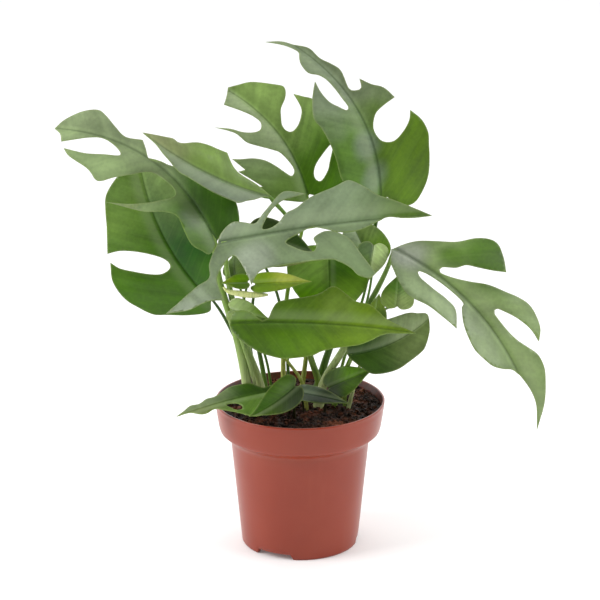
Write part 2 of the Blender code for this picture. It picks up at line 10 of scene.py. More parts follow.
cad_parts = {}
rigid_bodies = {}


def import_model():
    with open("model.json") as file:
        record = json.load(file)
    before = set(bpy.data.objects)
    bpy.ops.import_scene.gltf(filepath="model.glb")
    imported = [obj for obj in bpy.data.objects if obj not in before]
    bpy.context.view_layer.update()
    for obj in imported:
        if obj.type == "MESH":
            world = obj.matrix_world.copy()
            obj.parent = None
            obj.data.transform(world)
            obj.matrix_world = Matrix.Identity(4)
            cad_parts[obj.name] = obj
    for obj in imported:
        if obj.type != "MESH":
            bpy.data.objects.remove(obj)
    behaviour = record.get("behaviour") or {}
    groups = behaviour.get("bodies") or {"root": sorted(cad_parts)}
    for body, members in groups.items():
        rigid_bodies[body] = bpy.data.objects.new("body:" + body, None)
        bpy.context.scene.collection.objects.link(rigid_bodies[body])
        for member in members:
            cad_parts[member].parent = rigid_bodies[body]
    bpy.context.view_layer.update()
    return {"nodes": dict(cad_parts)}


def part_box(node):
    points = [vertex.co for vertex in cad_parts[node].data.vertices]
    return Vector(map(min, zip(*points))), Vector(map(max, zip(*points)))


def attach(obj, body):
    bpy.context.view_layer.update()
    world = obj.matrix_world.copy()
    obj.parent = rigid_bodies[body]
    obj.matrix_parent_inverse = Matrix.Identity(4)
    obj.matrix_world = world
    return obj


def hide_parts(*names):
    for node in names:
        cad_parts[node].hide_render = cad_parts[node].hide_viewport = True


for thing in list(bpy.data.objects):
    bpy.data.objects.remove(thing)
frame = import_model()
print("frame loaded:", len(frame["nodes"]), "nodes")

mm = 0.001
rimRadius, _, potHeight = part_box("pot")[1]
soilLow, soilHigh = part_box("soil")
soilLevel = soilHigh.z
crownLevel = potHeight - 10 * mm  # leaf and stalk places are given above the crown


def colourOf(red, green, blue):
    # screen values 0 to 255, turned to the linear values that the shaders take
    def linear(value):
        value /= 255
        return value / 12.92 if value <= 0.04045 else ((value + 0.055) / 1.055) ** 2.4
    return (linear(red), linear(green), linear(blue), 1)


def placed(name, mesh, *materials):
    piece = bpy.data.objects.new(name, mesh)
    for material in materials:
        mesh.materials.append(material)
    bpy.context.scene.collection.objects.link(piece)
    return piece


def finished(name, bm, *materials):
    mesh = bpy.data.meshes.new(name)
    bm.to_mesh(mesh)
    bm.free()
    mesh.shade_smooth()
    return placed(name, mesh, *materials)


def meshOf(curve):
    # the mesh of a curve's thickness, with no material
    guide = bpy.data.objects.new(curve.name + "Guide", curve)
    bpy.context.scene.collection.objects.link(guide)
    graph = bpy.context.evaluated_depsgraph_get()
    mesh = bpy.data.meshes.new_from_object(guide.evaluated_get(graph))
    bpy.data.objects.remove(guide)
    mesh.materials.clear()
    return mesh


def smoothRoute(stations, pieces):
    # a smooth curve through the stations
    route = []
    ends = [2 * stations[0] - stations[1]] + stations + [2 * stations[-1] - stations[-2]]
    for before, start, end, after in zip(ends, ends[1:], ends[2:], ends[3:]):
        for k in range(pieces):
            t = k / pieces
            route.append(0.5 * (
                2 * start + (end - before) * t + (2 * before - 5 * start + 4 * end - after) * t ** 2
                + (3 * start - before - 3 * end + after) * t ** 3))
    return route + [stations[-1]]


class Shader:
    # a Principled material whose nodes are added one call at a time
    def __init__(self, name):
        self.material = bpy.data.materials.new(name)
        self.material.use_nodes = True
        self.tree = self.material.node_tree
        self.skin = self.tree.nodes["Principled BSDF"]

    def node(self, kind, **values):
        made = self.tree.nodes.new(kind)
        for key, value in values.items():
            setattr(made, key, value)
        return made

    def join(self, value, socket):
        if isinstance(value, bpy.types.NodeSocket):
            self.tree.links.new(value, socket)
        else:
            socket.default_value = value

    def sum(self, operation, first, second=0.0, third=0.0):
        made = self.node("ShaderNodeMath", operation=operation)
        for value, socket in zip((first, second, third), made.inputs):
            self.join(value, socket)
        return made.outputs[0]

    def ramp(self, value, low, high, toLow=0.0, toHigh=1.0):
        made = self.node("ShaderNodeMapRange", interpolation_type="SMOOTHSTEP")
        for item, socket in zip((value, low, high, toLow, toHigh), made.inputs):
            self.join(item, socket)
        return made.outputs[0]

    def mix(self, share, first, second, blend="MIX"):
        made = self.node("ShaderNodeMix", data_type="RGBA", blend_type=blend)
        self.join(share, made.inputs[0])
        self.join(first, made.inputs[6])
        self.join(second, made.inputs[7])
        return made.outputs[2]

    def places(self):
        return self.node("ShaderNodeTexCoord").outputs["Object"]

    def stretched(self, scale):
        made = self.node("ShaderNodeMapping")
        self.join(self.places(), made.inputs["Vector"])
        made.inputs["Scale"].default_value = scale
        return made.outputs[0]

    def grain(self, scale, detail=3.0, where=None):
        made = self.node("ShaderNodeTexNoise")
        self.join(where or self.places(), made.inputs["Vector"])
        made.inputs["Scale"].default_value = scale
        made.inputs["Detail"].default_value = detail
        return made.outputs[0]

    def cells(self, scale, where=None):
        made = self.node("ShaderNodeTexVoronoi")
        self.join(where or self.places(), made.inputs["Vector"])
        made.inputs["Scale"].default_value = scale
        return made.outputs["Distance"]

    def bump(self, height, strength, distance):
        made = self.node("ShaderNodeBump")
        self.join(height, made.inputs["Height"])
        made.inputs["Strength"].default_value = strength
        made.inputs["Distance"].default_value = distance
        self.join(made.outputs[0], self.skin.inputs["Normal"])

    def set(self, **values):
        for key, value in values.items():
            self.join(value, self.skin.inputs[key.replace("_", " ")])


# the pot: a spun shell with rounded edges, foot arches and drilled drain holes
pot = dict(
    collarHeight=22.5 * mm, collarDraft=3 * mm, collarStep=7.2 * mm, collarEdge=2 * mm,
    shoulder=4.3 * mm, wall=1.5 * mm, baseHeight=5.5 * mm, archHeight=4 * mm, archWidth=29 * mm,
    archTurn=63, archFlank=5, arches=3, drainRadius=4 * mm, drainHoles=6, drainReach=0.6,
    drainTurn=0.12, turns=216, footRadius=41.5 * mm,
    # the last tone is painted shade for the inner wall above the peat
    colour=(140, 47, 19), pale=(146, 53, 25), scuff=(160, 72, 44), innerWallShade=(64, 32, 22))


def potMaterial():
    s = Shader("pot plastic")
    cloud = s.ramp(s.grain(24, 3), 0.35, 0.75)
    streak = s.ramp(s.grain(1, 4, s.stretched((120, 120, 12))), 0.56, 0.85, 0, 0.25)
    colour = s.mix(cloud, colourOf(*pot["colour"]), colourOf(*pot["pale"]))
    colour = s.mix(streak, colour, colourOf(*pot["scuff"]))
    # painted shade on the inner face above the peat, where the wall inside the rim lies in shadow
    place = s.node("ShaderNodeSeparateXYZ")
    s.join(s.places(), place.inputs[0])
    squares = [s.sum("POWER", place.outputs[axis], 2.0) for axis in (0, 1)]
    flat = s.sum("SQRT", s.sum("ADD", *squares))
    draft = pot["collarDraft"] / pot["collarHeight"]
    wide = s.sum("ADD", flat, s.sum("MULTIPLY", s.sum("SUBTRACT", potHeight, place.outputs[2]), draft))
    within = s.ramp(wide, rimRadius - 1.3 * mm, rimRadius - 1.0 * mm, 1.0, 0.0)
    above = s.ramp(place.outputs[2], soilLevel - 6 * mm, soilLevel - 4 * mm)
    uneven = s.ramp(s.grain(260, 3), 0.3, 0.6, 0.6, 0.95)
    innerWallShadeShare = s.sum("MULTIPLY", s.sum("MULTIPLY", within, above), uneven)
    colour = s.mix(innerWallShadeShare, colour, colourOf(*pot["innerWallShade"]))
    s.set(Base_Color=colour, Roughness=s.ramp(s.grain(16, 2), 0.0, 1.0, 0.27, 0.34))
    s.bump(s.grain(1400, 2), 0.03, 0.0002)
    return s.material


def makePot():
    # the profile runs up the outside, over the lip and down the inside, with rounded edges
    collarBase = potHeight - pot["collarHeight"]
    under = rimRadius - pot["collarDraft"] - pot["collarStep"]
    shoulder = collarBase - pot["shoulder"]
    foot, wall, base = pot["footRadius"], pot["wall"], pot["baseHeight"]
    slope = (under - foot) / collarBase

    def body(height):
        return foot + slope * height

    collarLow, edge = rimRadius - pot["collarDraft"], pot["collarEdge"]
    outside = [
        (0, base), (foot - 7 * mm, base), (foot - 4.6 * mm, base), (foot - 3.2 * mm, base * 0.6),
        (foot - 2.6 * mm, 0.6 * mm), (foot - 1.9 * mm, 0), (foot - 1.2 * mm, 0),
        (foot - 0.5 * mm, 0.25 * mm), (body(1.3 * mm), 1.3 * mm), (body(2.6 * mm), 2.6 * mm)]
    outside += [(body(h * 8 * mm), h * 8 * mm) for h in range(1, 9)]
    outside += [
        (body(shoulder - 3.2 * mm), shoulder - 3.2 * mm),
        (body(shoulder) + 0.15 * mm, shoulder - 1.2 * mm),
        (body(shoulder) + 0.9 * mm, shoulder + 0.2 * mm),
        (collarLow - edge - 1.5 * mm, collarBase - 0.9 * mm), (collarLow - edge, collarBase - 0.1 * mm),
        (collarLow - 0.55 * edge, collarBase + 0.35 * mm),
        (collarLow - 0.2 * edge, collarBase + 1.0 * mm), (collarLow, collarBase + 2.2 * mm)]
    outside += [
        (collarLow + pot["collarDraft"] * k / 8, collarBase + (pot["collarHeight"] - 1.6 * mm) * k / 8)
        for k in range(2, 8)]
    outside += [
        (rimRadius - 0.35 * mm, potHeight - 1.9 * mm), (rimRadius, potHeight - 1.2 * mm),
        (rimRadius, potHeight - 0.6 * mm), (rimRadius - 0.3 * mm, potHeight - 0.12 * mm),
        (rimRadius - 0.75 * mm, potHeight), (rimRadius - 1.3 * mm, potHeight - 0.15 * mm),
        (rimRadius - wall - 0.15 * mm, potHeight - 0.7 * mm)]
    inside = [
        (collarLow - wall, collarBase + wall + edge), (collarLow - wall - edge, collarBase + wall),
        (body(shoulder) - wall, shoulder),
        (body(base + wall + 3 * mm) - wall, base + wall + 3 * mm),
        (body(base + wall) - wall - 3 * mm, base + wall), (0, base + wall)]
    bm = bmesh.new()
    points = [bm.verts.new((radius, 0, height)) for radius, height in outside + inside]
    edges = [bm.edges.new(pair) for pair in zip(points, points[1:])]
    bmesh.ops.spin(
        bm, geom=points + edges, cent=(0, 0, 0), axis=(0, 0, 1), angle=math.tau,
        steps=pot["turns"], use_merge=True)
    bmesh.ops.remove_doubles(bm, verts=bm.verts, dist=0.005 * mm)
    bmesh.ops.recalc_face_normals(bm, faces=bm.faces)
    halfArch = pot["archWidth"] / 2 / foot
    for vert in bm.verts:
        # shallow arches between the feet: the foot ring's lower edge is lifted
        radius = math.hypot(vert.co.x, vert.co.y)
        if radius > foot - 3.5 * mm and vert.co.z < pot["archHeight"]:
            turn = math.atan2(vert.co.y, vert.co.x) - math.radians(pot["archTurn"])
            share = turn / (math.tau / pot["arches"]) - 0.5
            off = abs(share - round(share)) * math.tau / pot["arches"] / halfArch
            if off < 1:
                lift = pot["archHeight"] * min(1, pot["archFlank"] * (1 - off ** 2))
                vert.co.z = max(vert.co.z, lift + vert.co.z * 0.1)
    piece = finished("potShell", bm, potMaterial())
    cutters = []
    for hole in range(pot["drainHoles"]):
        turn = math.tau * (hole + pot["drainTurn"]) / pot["drainHoles"]
        reach = pot["drainReach"] * foot
        at = Matrix.Translation((reach * math.cos(turn), reach * math.sin(turn), base))
        drill = bmesh.new()
        bmesh.ops.create_cone(
            drill, cap_ends=True, segments=40, radius1=pot["drainRadius"], radius2=pot["drainRadius"],
            depth=9 * wall, matrix=at)
        cutter = finished(f"drill{hole}", drill)
        cutters.append(cutter)
        modifier = piece.modifiers.new("drain", "BOOLEAN")
        modifier.object = cutter
        modifier.solver = "EXACT"
    graph = bpy.context.evaluated_depsgraph_get()
    cut = bpy.data.meshes.new_from_object(piece.evaluated_get(graph))
    piece.modifiers.clear()
    piece.data = cut
    for cutter in cutters:
        bpy.data.objects.remove(cutter)
    piece.data.set_sharp_from_angle(angle=math.radians(40))
    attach(piece, "root")
    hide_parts("pot")


makePot()
print("pot made")


# the peat: a lumpy bed with crumbs and fibres strewn over it
peat = dict(
    seed=11, rings=44, turns=120, swell=1.6 * mm, crumbs=2300, crumbSizes=(0.5 * mm, 2.1 * mm),
    crumbRough=0.22, crumbSpread=0.985, fibres=150, fibreRadius=0.16 * mm, fibreSpread=0.93,
    dark=(24, 12, 6), brown=(72, 38, 21), red=(132, 74, 48), straw=(96, 64, 46), husk=(52, 33, 24))


def peatMaterial():
    s = Shader("damp peat")
    lump = s.ramp(s.grain(210, 5), 0.4, 0.68)
    rusty = s.ramp(s.grain(95, 6), 0.5, 0.72, 0, 0.75)
    colour = s.mix(lump, colourOf(*peat["dark"]), colourOf(*peat["brown"]))
    colour = s.mix(rusty, colour, colourOf(*peat["red"]))
    rough = s.ramp(s.grain(400, 3), 0.3, 0.8, 0.6, 0.95)
    s.set(Base_Color=colour, Roughness=rough, Specular_IOR_Level=0.25)
    s.bump(s.sum("ADD", s.grain(700, 6), s.cells(420)), 0.7, 0.0012)
    return s.material


def fibreMaterial():
    s = Shader("coir fibre")
    colour = s.mix(s.ramp(s.grain(300), 0.4, 0.6), colourOf(*peat["straw"]), colourOf(*peat["husk"]))
    s.set(Base_Color=colour, Roughness=s.ramp(s.grain(800), 0.3, 0.7, 0.6, 0.85))
    s.bump(s.grain(2500), 0.4, 0.0002)
    return s.material


def peatHeight(x, y):
    # how far the surface stands above the soil level at a place
    broad = noise.noise(Vector((x * 90, y * 90, 3)))
    small = noise.noise(Vector((x * 260, y * 260, 7)))
    return peat["swell"] * (broad * 0.6 + small * 0.4 - 0.2)


def strewn(chance, spread):
    # a chance place on a disc
    reach = spread * math.sqrt(chance.random())
    turn = chance.uniform(0, math.tau)
    return reach * math.cos(turn), reach * math.sin(turn)


def makeBed(radius, material):
    depth = soilHigh.z - soilLow.z
    bm = bmesh.new()
    profile = [(radius * k / peat["rings"], soilLevel) for k in range(peat["rings"] + 1)]
    profile += [
        (radius - 3 * mm, soilLevel - 0.14 * depth), (radius - 9.5 * mm, soilLevel - 0.24 * depth),
        (37 * mm, soilLow.z + 2 * mm), (35 * mm, soilLow.z), (0, soilLow.z)]
    points = [bm.verts.new((x, 0, z)) for x, z in profile]
    edges = [bm.edges.new(pair) for pair in zip(points, points[1:])]
    bmesh.ops.spin(
        bm, geom=points + edges, cent=(0, 0, 0), axis=(0, 0, 1), angle=math.tau,
        steps=peat["turns"], use_merge=True)
    bmesh.ops.remove_doubles(bm, verts=bm.verts, dist=0.005 * mm)
    bmesh.ops.recalc_face_normals(bm, faces=bm.faces)
    for vert in bm.verts:
        if vert.co.z > soilLevel - 0.01 * mm:
            vert.co.z += peatHeight(vert.co.x, vert.co.y)
    bed = finished("peatBed", bm, material)
    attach(bed, "root")
    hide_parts("soil")


def makeCrumbs(radius, chance, material):
    bm = bmesh.new()
    small, large = peat["crumbSizes"]
    for _ in range(peat["crumbs"]):
        x, y = strewn(chance, radius * peat["crumbSpread"])
        size = small + (large - small) * chance.random() ** 2.6
        long, wide, high = [chance.uniform(*span) for span in ((0.6, 1.3), (0.6, 1.2), (0.45, 0.9))]
        squeeze = Matrix.Diagonal((long, wide, high, 1))
        angle = chance.uniform(0, math.tau)
        spin = Matrix.Rotation(angle, 4, Vector((chance.random(), chance.random(), 1)))
        at = Matrix.Translation((x, y, soilLevel + peatHeight(x, y) + size * 0.3))
        made = bmesh.ops.create_icosphere(bm, subdivisions=1, radius=size, matrix=at @ spin @ squeeze)
        for vert in made["verts"]:
            push = Vector([chance.uniform(-1, 1) for _ in range(3)])
            vert.co += push * size * peat["crumbRough"]
    crumbs = finished("peatCrumbs", bm, material)
    crumbs.data.shade_flat()
    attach(crumbs, "root")


def makeFibres(radius, chance):
    curve = bpy.data.curves.new("peatFibres", "CURVE")
    curve.dimensions = "3D"
    curve.bevel_depth = peat["fibreRadius"]
    curve.bevel_resolution = 1
    for _ in range(peat["fibres"]):
        place = Vector((*strewn(chance, radius * peat["fibreSpread"]), 0))
        heading = chance.uniform(0, math.tau)
        spline = curve.splines.new("POLY")
        spline.points.add(5)
        for k, point in enumerate(spline.points):
            height = soilLevel + peatHeight(place.x, place.y) + chance.uniform(0.4, 1.5) * mm
            if place.xy.length > radius * 0.98:
                place.xy *= radius * 0.98 / place.xy.length
            point.co = (place.x, place.y, height, 1)
            point.radius = 1 - 0.12 * k
            heading += chance.uniform(-0.7, 0.7)
            place += Vector((math.cos(heading), math.sin(heading), 0)) * chance.uniform(1.2, 2.4) * mm
    fibres = placed("peatFibres", meshOf(curve), fibreMaterial())
    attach(fibres, "root")


peatRadius = soilHigh.x - 0.1 * mm
peatSkin = peatMaterial()
peatChance = random.Random(peat["seed"])
makeBed(peatRadius, peatSkin)
makeCrumbs(peatRadius, peatChance, peatSkin)
makeFibres(peatRadius, peatChance)
print("peat made")


# the leaves: a flat outline is cut into a grid and bent onto the surface of its design
sharp = True

# margins in percent of the blade's length: how far along the midrib, and how far to its left;
# sharp marks the tip of a lobe or the foot of a slit
marginUpperLeft = [
    (0, -4, sharp), (-1, 7), (4, 10), (10, 12), (17, 10), (24, 7), (31, 10), (40, 17),
    (57, 24, sharp), (48, 18.5), (41, 12.5), (36, 7), (31, 0), (33, -3), (40, -3.5), (48, -2),
    (55, 5), (61, 11), (65, 16), (68, 17), (74, 14), (85, 12), (90, 9, sharp), (80, 7),
    (72, 3), (65, -1), (69, -4), (77, -5), (83, -2), (88, 2), (93, 6, sharp), (96, 2),
    (100, 0, sharp), (98, -6), (93, -13), (87, -17), (82, -16), (75, -13), (68, -11),
    (60, -14, sharp), (56, -11), (52, -8), (46, -10), (38, -13), (30, -20), (20, -22),
    (10, -22), (3, -21), (-4, -15), (-1, -9)]
marginLowerLeft = [
    (-5, 0, sharp), (-10, 4), (-6, 17), (0, 29), (5, 38), (15, 45), (22, 49), (30, 51),
    (38, 51), (48, 47, sharp), (42, 43), (36, 35), (30, 26), (27, 19), (28, 13), (32, 12),
    (38, 16), (46, 26), (52, 37), (54, 46, sharp), (70, 38), (80, 34), (88, 30), (94, 22),
    (100, 9), (103, 0, sharp), (92, -14), (78, -22), (60, -26), (40, -26), (22, -20), (6, -11)]
marginLongLeft = [
    (0, 0, sharp), (7, 4), (13, 10), (19, 15), (23, 19), (27, 20.5), (45, 22), (63, 20),
    (70, 19), (77, 14), (83, 10), (89, 5), (95, 2), (100, 0, sharp), (86, -2), (80, -3),
    (76, -2), (72, -3), (65, -7), (58, -9), (50, -9.5), (43, -10, sharp), (38, -5), (33, -2),
    (27, -1), (14, -1)]
marginTopCentre = [
    (2, -2, sharp), (0, 4), (7, 14), (12, 20), (18, 26), (30, 31, sharp), (27, 26, sharp),
    (46, 35, sharp), (44, 30, sharp), (56, 33, sharp), (52, 28), (47, 20), (41, 14), (34, 10),
    (27, 7), (21, 4), (21, 1), (25, -1), (38, 1), (44, 5), (50, 10), (55, 14), (60, 17),
    (70, 19), (82, 27, sharp), (74, 19), (68, 15), (64, 11), (61, 6), (61, 2), (65, -1),
    (71, 0), (78, 3), (91, 10, sharp), (95, 4), (100, -2, sharp), (97, -8), (93, -16),
    (87, -22), (80, -28), (76, -31), (72, -30), (68, -26), (64, -19), (59, -15), (54, -12),
    (49, -12), (46, -15), (47, -21), (51, -27), (56, -31), (67, -33, sharp), (62, -37),
    (56, -42), (46, -46), (32, -45), (18, -43), (8, -40), (1, -37), (-6, -31), (-8, -24),
    (-5, -10)]
holeTopCentre = [(5, -14), (9, -11), (14, -13), (18, -19), (22, -33), (19, -33), (13, -27), (8, -22)]
marginTopRight = [
    (0, -4, sharp), (-4, 1), (7, 13), (15, 16), (24, 20), (34, 19), (45, 18), (55, 18),
    (62, 19), (70, 15), (75, 11), (80, 6, sharp), (73, 7), (66, 6), (61, 3), (57, 0), (58, -2),
    (64, -1.5), (72, -1), (78, 0), (82, 2), (86, 6), (92, 6), (96, 4), (99, 2), (104, 4),
    (108, 7), (113, 12, sharp), (109, 5), (104, 1), (98, -4), (90, -5), (84, -8), (78, -10),
    (67, -8), (64, -11), (64, -14), (69, -16, sharp), (63, -20), (58, -25), (50, -28, sharp),
    (49, -20), (47, -14), (42, -10), (37, -9), (31, -11), (28, -17), (30, -24), (34, -30),
    (39, -33, sharp), (31, -37), (23, -38), (16, -36), (9, -34), (0, -31), (-7, -26),
    (-11, -20), (-9, -12)]
marginCentre = [
    (-2, -2), (0, 3), (4, 7), (8, 9), (13, 8), (18, 7), (22, 11), (27, 16), (31, 20), (35, 21),
    (43, 18.5, sharp), (37, 17.5), (32, 16.5), (27, 13), (23, 8), (21, 4), (25, 4), (29, 6),
    (33, 10), (38, 12), (45, 16.5), (56, 20), (61, 22), (64, 22), (70, 18), (76, 13), (84, 9),
    (100, 0, sharp), (92, 0), (85, 1), (80, 2), (76, 1), (68, -3), (62, -4), (56, -3), (50, 0),
    (44, 2), (38, -1), (32, -5), (36, -9), (41, -12), (45, -12.5), (46, -9), (45, -5),
    (49, -2), (53, -2), (57, -4), (62, -9), (66, -17), (72, -28, sharp), (69, -30), (64, -28),
    (61, -24), (56, -20), (50, -18), (27, -18), (20, -19), (17, -22), (15, -26, sharp),
    (13, -20), (10, -13), (7, -9), (3, -12), (-1, -20), (0, -27), (2, -33, sharp), (-6, -33),
    (-15, -36), (-28, -36, sharp), (-19, -30), (-11, -24), (-5, -20), (-5, -12)]
marginRight = [
    (0, -1, sharp), (2, 4), (5, 9), (10, 14), (16, 20), (20, 27), (24, 31), (28, 32), (33, 30),
    (39, 26, sharp), (35, 22), (30, 18), (26, 15), (24, 11), (20, 7), (21, 5), (26, 7),
    (32, 11), (38, 16), (45, 20), (50, 23), (55, 25), (60, 25), (66, 23), (70, 19, sharp),
    (64, 19), (57, 17), (51, 14), (48, 12), (49, 10), (57, 10), (63, 11), (68, 13), (74, 15.5),
    (80, 15), (86, 12), (92, 8), (97, 3), (100, 0, sharp), (95, 2.5), (90, 4.5), (84, 5),
    (76, 4), (72, 2), (69, -2), (65, -6), (60, -8), (54, -9), (47, -7), (42, -4), (38, 0),
    (36, 2.5), (22, 1), (15, -1.5), (17, -4), (24, -4), (31, -3), (37, -3.5), (43, -9.5, sharp),
    (36, -10.5), (28, -12), (20, -15), (14, -13.5), (8, -10), (4, -7)]
marginFront = [
    (2, 1, sharp), (6, 3), (8, 8), (11, 13), (17, 15), (31, 18), (38, 21), (43, 25), (46, 26),
    (50, 24), (55, 20), (61, 16), (69, 15), (75, 11), (80, 7), (87, 4), (100, 0, sharp),
    (90, -2), (83, -3), (77, -6), (72, -10), (65, -14), (58, -16), (50, -18), (42, -21),
    (35, -25), (20, -27), (10, -25), (2, -22), (-6, -17), (-13, -11), (-18, -4), (-19, 2),
    (-17, 7), (-13, 8), (-7, 7)]
marginRound = [
    (-1, -5, sharp), (-2, 5), (12, 20), (30, 24), (45, 22), (57, 19), (80, 16), (90, 11),
    (100, 5), (96, -10), (91, -18), (85, -25), (77, -31), (57, -36), (45, -38), (33, -37),
    (22, -34), (14, -30), (8, -22)]
marginRim = [
    (-2, 0), (0, 10), (4, 22), (12, 32), (20, 32), (28, 30), (37, 24), (54, 13), (62, 8),
    (70, 11), (77, 9), (87, 1), (100, 0, sharp), (91, -3), (84, -6), (75, -5), (67, -8),
    (58, -8), (43, -14), (31, -14), (23, -13), (18, -10), (11, -5), (3, -6)]
holeRim = [(35, 15), (36, 18), (41, 18), (46, 13), (50, 7), (46, 6), (39, 9)]

# an unsplit blade of half width 1
heartHalf = [(-7, 0.30), (-3, 0.72), (9, 0.97), (28, 1.0), (48, 0.86), (68, 0.55), (85, 0.22)]


def heart(halfWidth):
    left = [(along, share * halfWidth) for along, share in heartHalf]
    right = [(along, -across) for along, across in reversed(left)]
    return [(2, 0, sharp)] + left + [(100, 0, sharp)] + right


# foot and tip in millimetres from the pot's axis and above the crown; face is the way the upper
# side looks; droop and fold in degrees; curl, sweep and the midrib's bow in percent; stalk is its
# radius and route
leafShape = dict(fold=6, curl=10, sweep=0, bow=0)  # unless a leaf's design says otherwise
leafDesigns = {
    "leaf_upper_left": dict(
        foot=(-58, -12, 130), tip=(-168, 0, 207), face=(-0.2, -0.8, 0.7), droop=25, fold=8,
        sweep=-6, bow=-8, margin=marginUpperLeft,
        stalk=(3.4, [(-34, -17, 0), (-37, -19, 27), (-43.5, -20, 62), (-55, -16, 100)])),
    "leaf_lower_left": dict(
        foot=(-65, 8, 84), tip=(-112, 25, 178), face=(-0.3, -1, 0.5), droop=25,
        bow=7, margin=marginLowerLeft,
        stalk=(1.4, [(-26, 8, 0), (-36, 9, 30), (-52, 12, 64), (-61, 14, 78)])),
    "leaf_long_left": dict(
        foot=(-19, 0, 158), tip=(-107, -15, 208), face=(0.1, -0.8, 0.8), droop=25, fold=12,
        bow=9, margin=marginLongLeft,
        stalk=(2.3, [(17, 5, 0), (13, 5, 22), (6, 6, 46), (0, 8, 95), (-5, 8, 134)])),
    "leaf_top_centre": dict(
        foot=(6, 58, 141), tip=(-53, 82, 215), face=(0.1, -1, 0.5), droop=25,
        sweep=-4, bow=-6, margin=marginTopCentre, hole=holeTopCentre,
        stalk=(2.0, [(-10, 17, 0), (-12, 21, 30), (-9, 36, 77), (2, 56, 120)])),
    "leaf_top_right": dict(
        foot=(56, 15, 152), tip=(0, 20, 258), face=(0.1, -1, 0.4), droop=25, fold=8,
        curl=8, sweep=-6, bow=-6, margin=marginTopRight,
        stalk=(2.6, [(9, 10, 0), (15, 11, 24), (22, 13, 46), (37, 18, 84), (51, 25, 122)])),
    "leaf_centre": dict(
        foot=(-54, -35, 136), tip=(89, -45, 158), face=(0, -0.8, 0.8), droop=25, fold=10,
        sweep=-3, bow=2, margin=marginCentre,
        stalk=(3.1, [(-26, -11, 0), (-28, -11, 24), (-38, -12, 54), (-48, -16, 94)])),
    "leaf_right": dict(
        foot=(64, -15, 126), tip=(164, -45, 3), face=(0.4, -0.9, 0.6), droop=35, fold=10,
        sweep=4, bow=5, margin=marginRight,
        stalk=(2.7, [(12, -4, 0), (17, -3, 24), (30, 0, 46), (46, 0, 76), (58, -5, 102)])),
    "leaf_front": dict(
        foot=(-28, -42, 81), tip=(79, -50, 76), face=(0, -0.8, 0.8), droop=20, fold=8,
        margin=marginFront,
        stalk=(1.3, [(5, -8, 0), (2, -9, 24), (-8, -14, 42), (-19, -25, 60)])),
    "leaf_round_right": dict(
        foot=(35, -15, 48), tip=(90, -12, 74), face=(0.2, -1, 0.5), droop=15, fold=5,
        bow=-8, margin=marginRound,
        stalk=(1.6, [(23, -2, 0), (29, -5, 26), (33, -8, 38)])),
    "leaf_over_rim": dict(
        foot=(-17, -29, 27), tip=(-86, -36, 10), face=(0, -0.5, 1), droop=15, fold=10,
        curl=15, margin=marginRim, hole=holeRim,
        stalk=(1.2, [(-8, -21, 0), (-8, -21, 14)])),
    "leaf_front_low": dict(
        foot=(-3, -36, 33), tip=(-35, -57, 18), face=(0, -1, 0.4), droop=12,
        sweep=4, margin=heart(27),
        stalk=(1.2, [(-4, -24, 0), (-4, -30, 19)])),
    "leaf_behind_centre": dict(
        foot=(20, 2, 119), tip=(21, -8, 64), face=(0, -1, 0.3), droop=15,
        margin=heart(52),
        stalk=(2.2, [(0, 12, 0), (3, 13, 26), (10, 14, 80), (17, 13, 112)])),
    "leaf_shaded": dict(
        foot=(-34, -5, 131), tip=(15, -11, 116), face=(0, -1, 0.4), droop=12,
        margin=heart(32),
        stalk=(1.2, [(-8, 4, 0), (-9, 3, 40), (-15, 1, 84), (-27, 0, 114)])),
    "leaf_back_right": dict(
        foot=(50, 13, 106), tip=(32, 17, 143), face=(0.2, -1, 0.5), droop=10,
        margin=heart(44),
        stalk=(1.3, [(25, 13, 0), (30, 14, 30), (45, 20, 80)])),
    "leaf_under_right": dict(
        foot=(67, -16, 84), tip=(69, -14, 108), face=(0, -1, 0.5), droop=10,
        margin=heart(48),
        stalk=(1.1, [(28, 8, 0), (34, 10, 30), (55, 6, 70)])),
    "leaf_dark_left": dict(
        foot=(-45, 2, 101), tip=(-46, 0, 117), face=(0, -1, 0.3), droop=10, fold=8,
        margin=heart(54),
        stalk=(1.0, [(-19, 10, 0), (-24, 10, 36), (-38, 7, 78)])),
    "leaf_small_grey": dict(
        foot=(51, -11, 127), tip=(47, -21, 104), face=(0, -1, 0.5), droop=10, fold=10,
        margin=heart(43),
        stalk=(1.0, [(31, -4, 0), (35, -5, 40), (48, -9, 92)])),
    "leaf_small_yellow": dict(
        foot=(52, -8, 69), tip=(55, -12, 92), face=(0, -1, 0.5), droop=10, fold=10,
        margin=heart(34),
        stalk=(1.1, [(33, -5, 0), (42, -4, 36), (50, -4, 60)])),
    "leaf_small_left": dict(
        foot=(-48, -26, 85), tip=(-20, -34, 80), face=(0, -1, 0.2), droop=10, fold=8,
        margin=heart(32),
        stalk=(1.2, [(-29, -20, 0), (-32, -20, 30), (-43, -26, 70)])),
    "leaf_low_right": dict(
        foot=(20, -14, 23), tip=(51, -17, 38), face=(-0.2, -0.8, 0.8), droop=10,
        margin=heart(34),
        stalk=(1.2, [(17, -15, 0), (18, -15, 11)])),
    "leaf_on_soil": dict(
        foot=(-1, -20, 22), tip=(35, -32, 18), face=(0, -0.7, 1), droop=8, fold=10,
        margin=heart(19),
        stalk=(1.0, [(3, -15, 0), (2, -15, 12)])),
    "new_leaf_right": dict(
        foot=(-31, -22, 102), tip=(8, -28, 106), face=(0, -0.8, 0.8), droop=10, fold=14,
        margin=heart(20),
        stalk=(1.5, [(-22, 0, 0), (-26, 0, 30), (-33, -7, 75)])),
    "new_leaf_left": dict(
        foot=(-36, -23, 104), tip=(-54, -25, 104), face=(0, -0.8, 0.8), droop=10, fold=14,
        margin=heart(34),
        stalk=(1.2, [(-30, 1, 0), (-33, 0, 36), (-39, -8, 78)])),
}
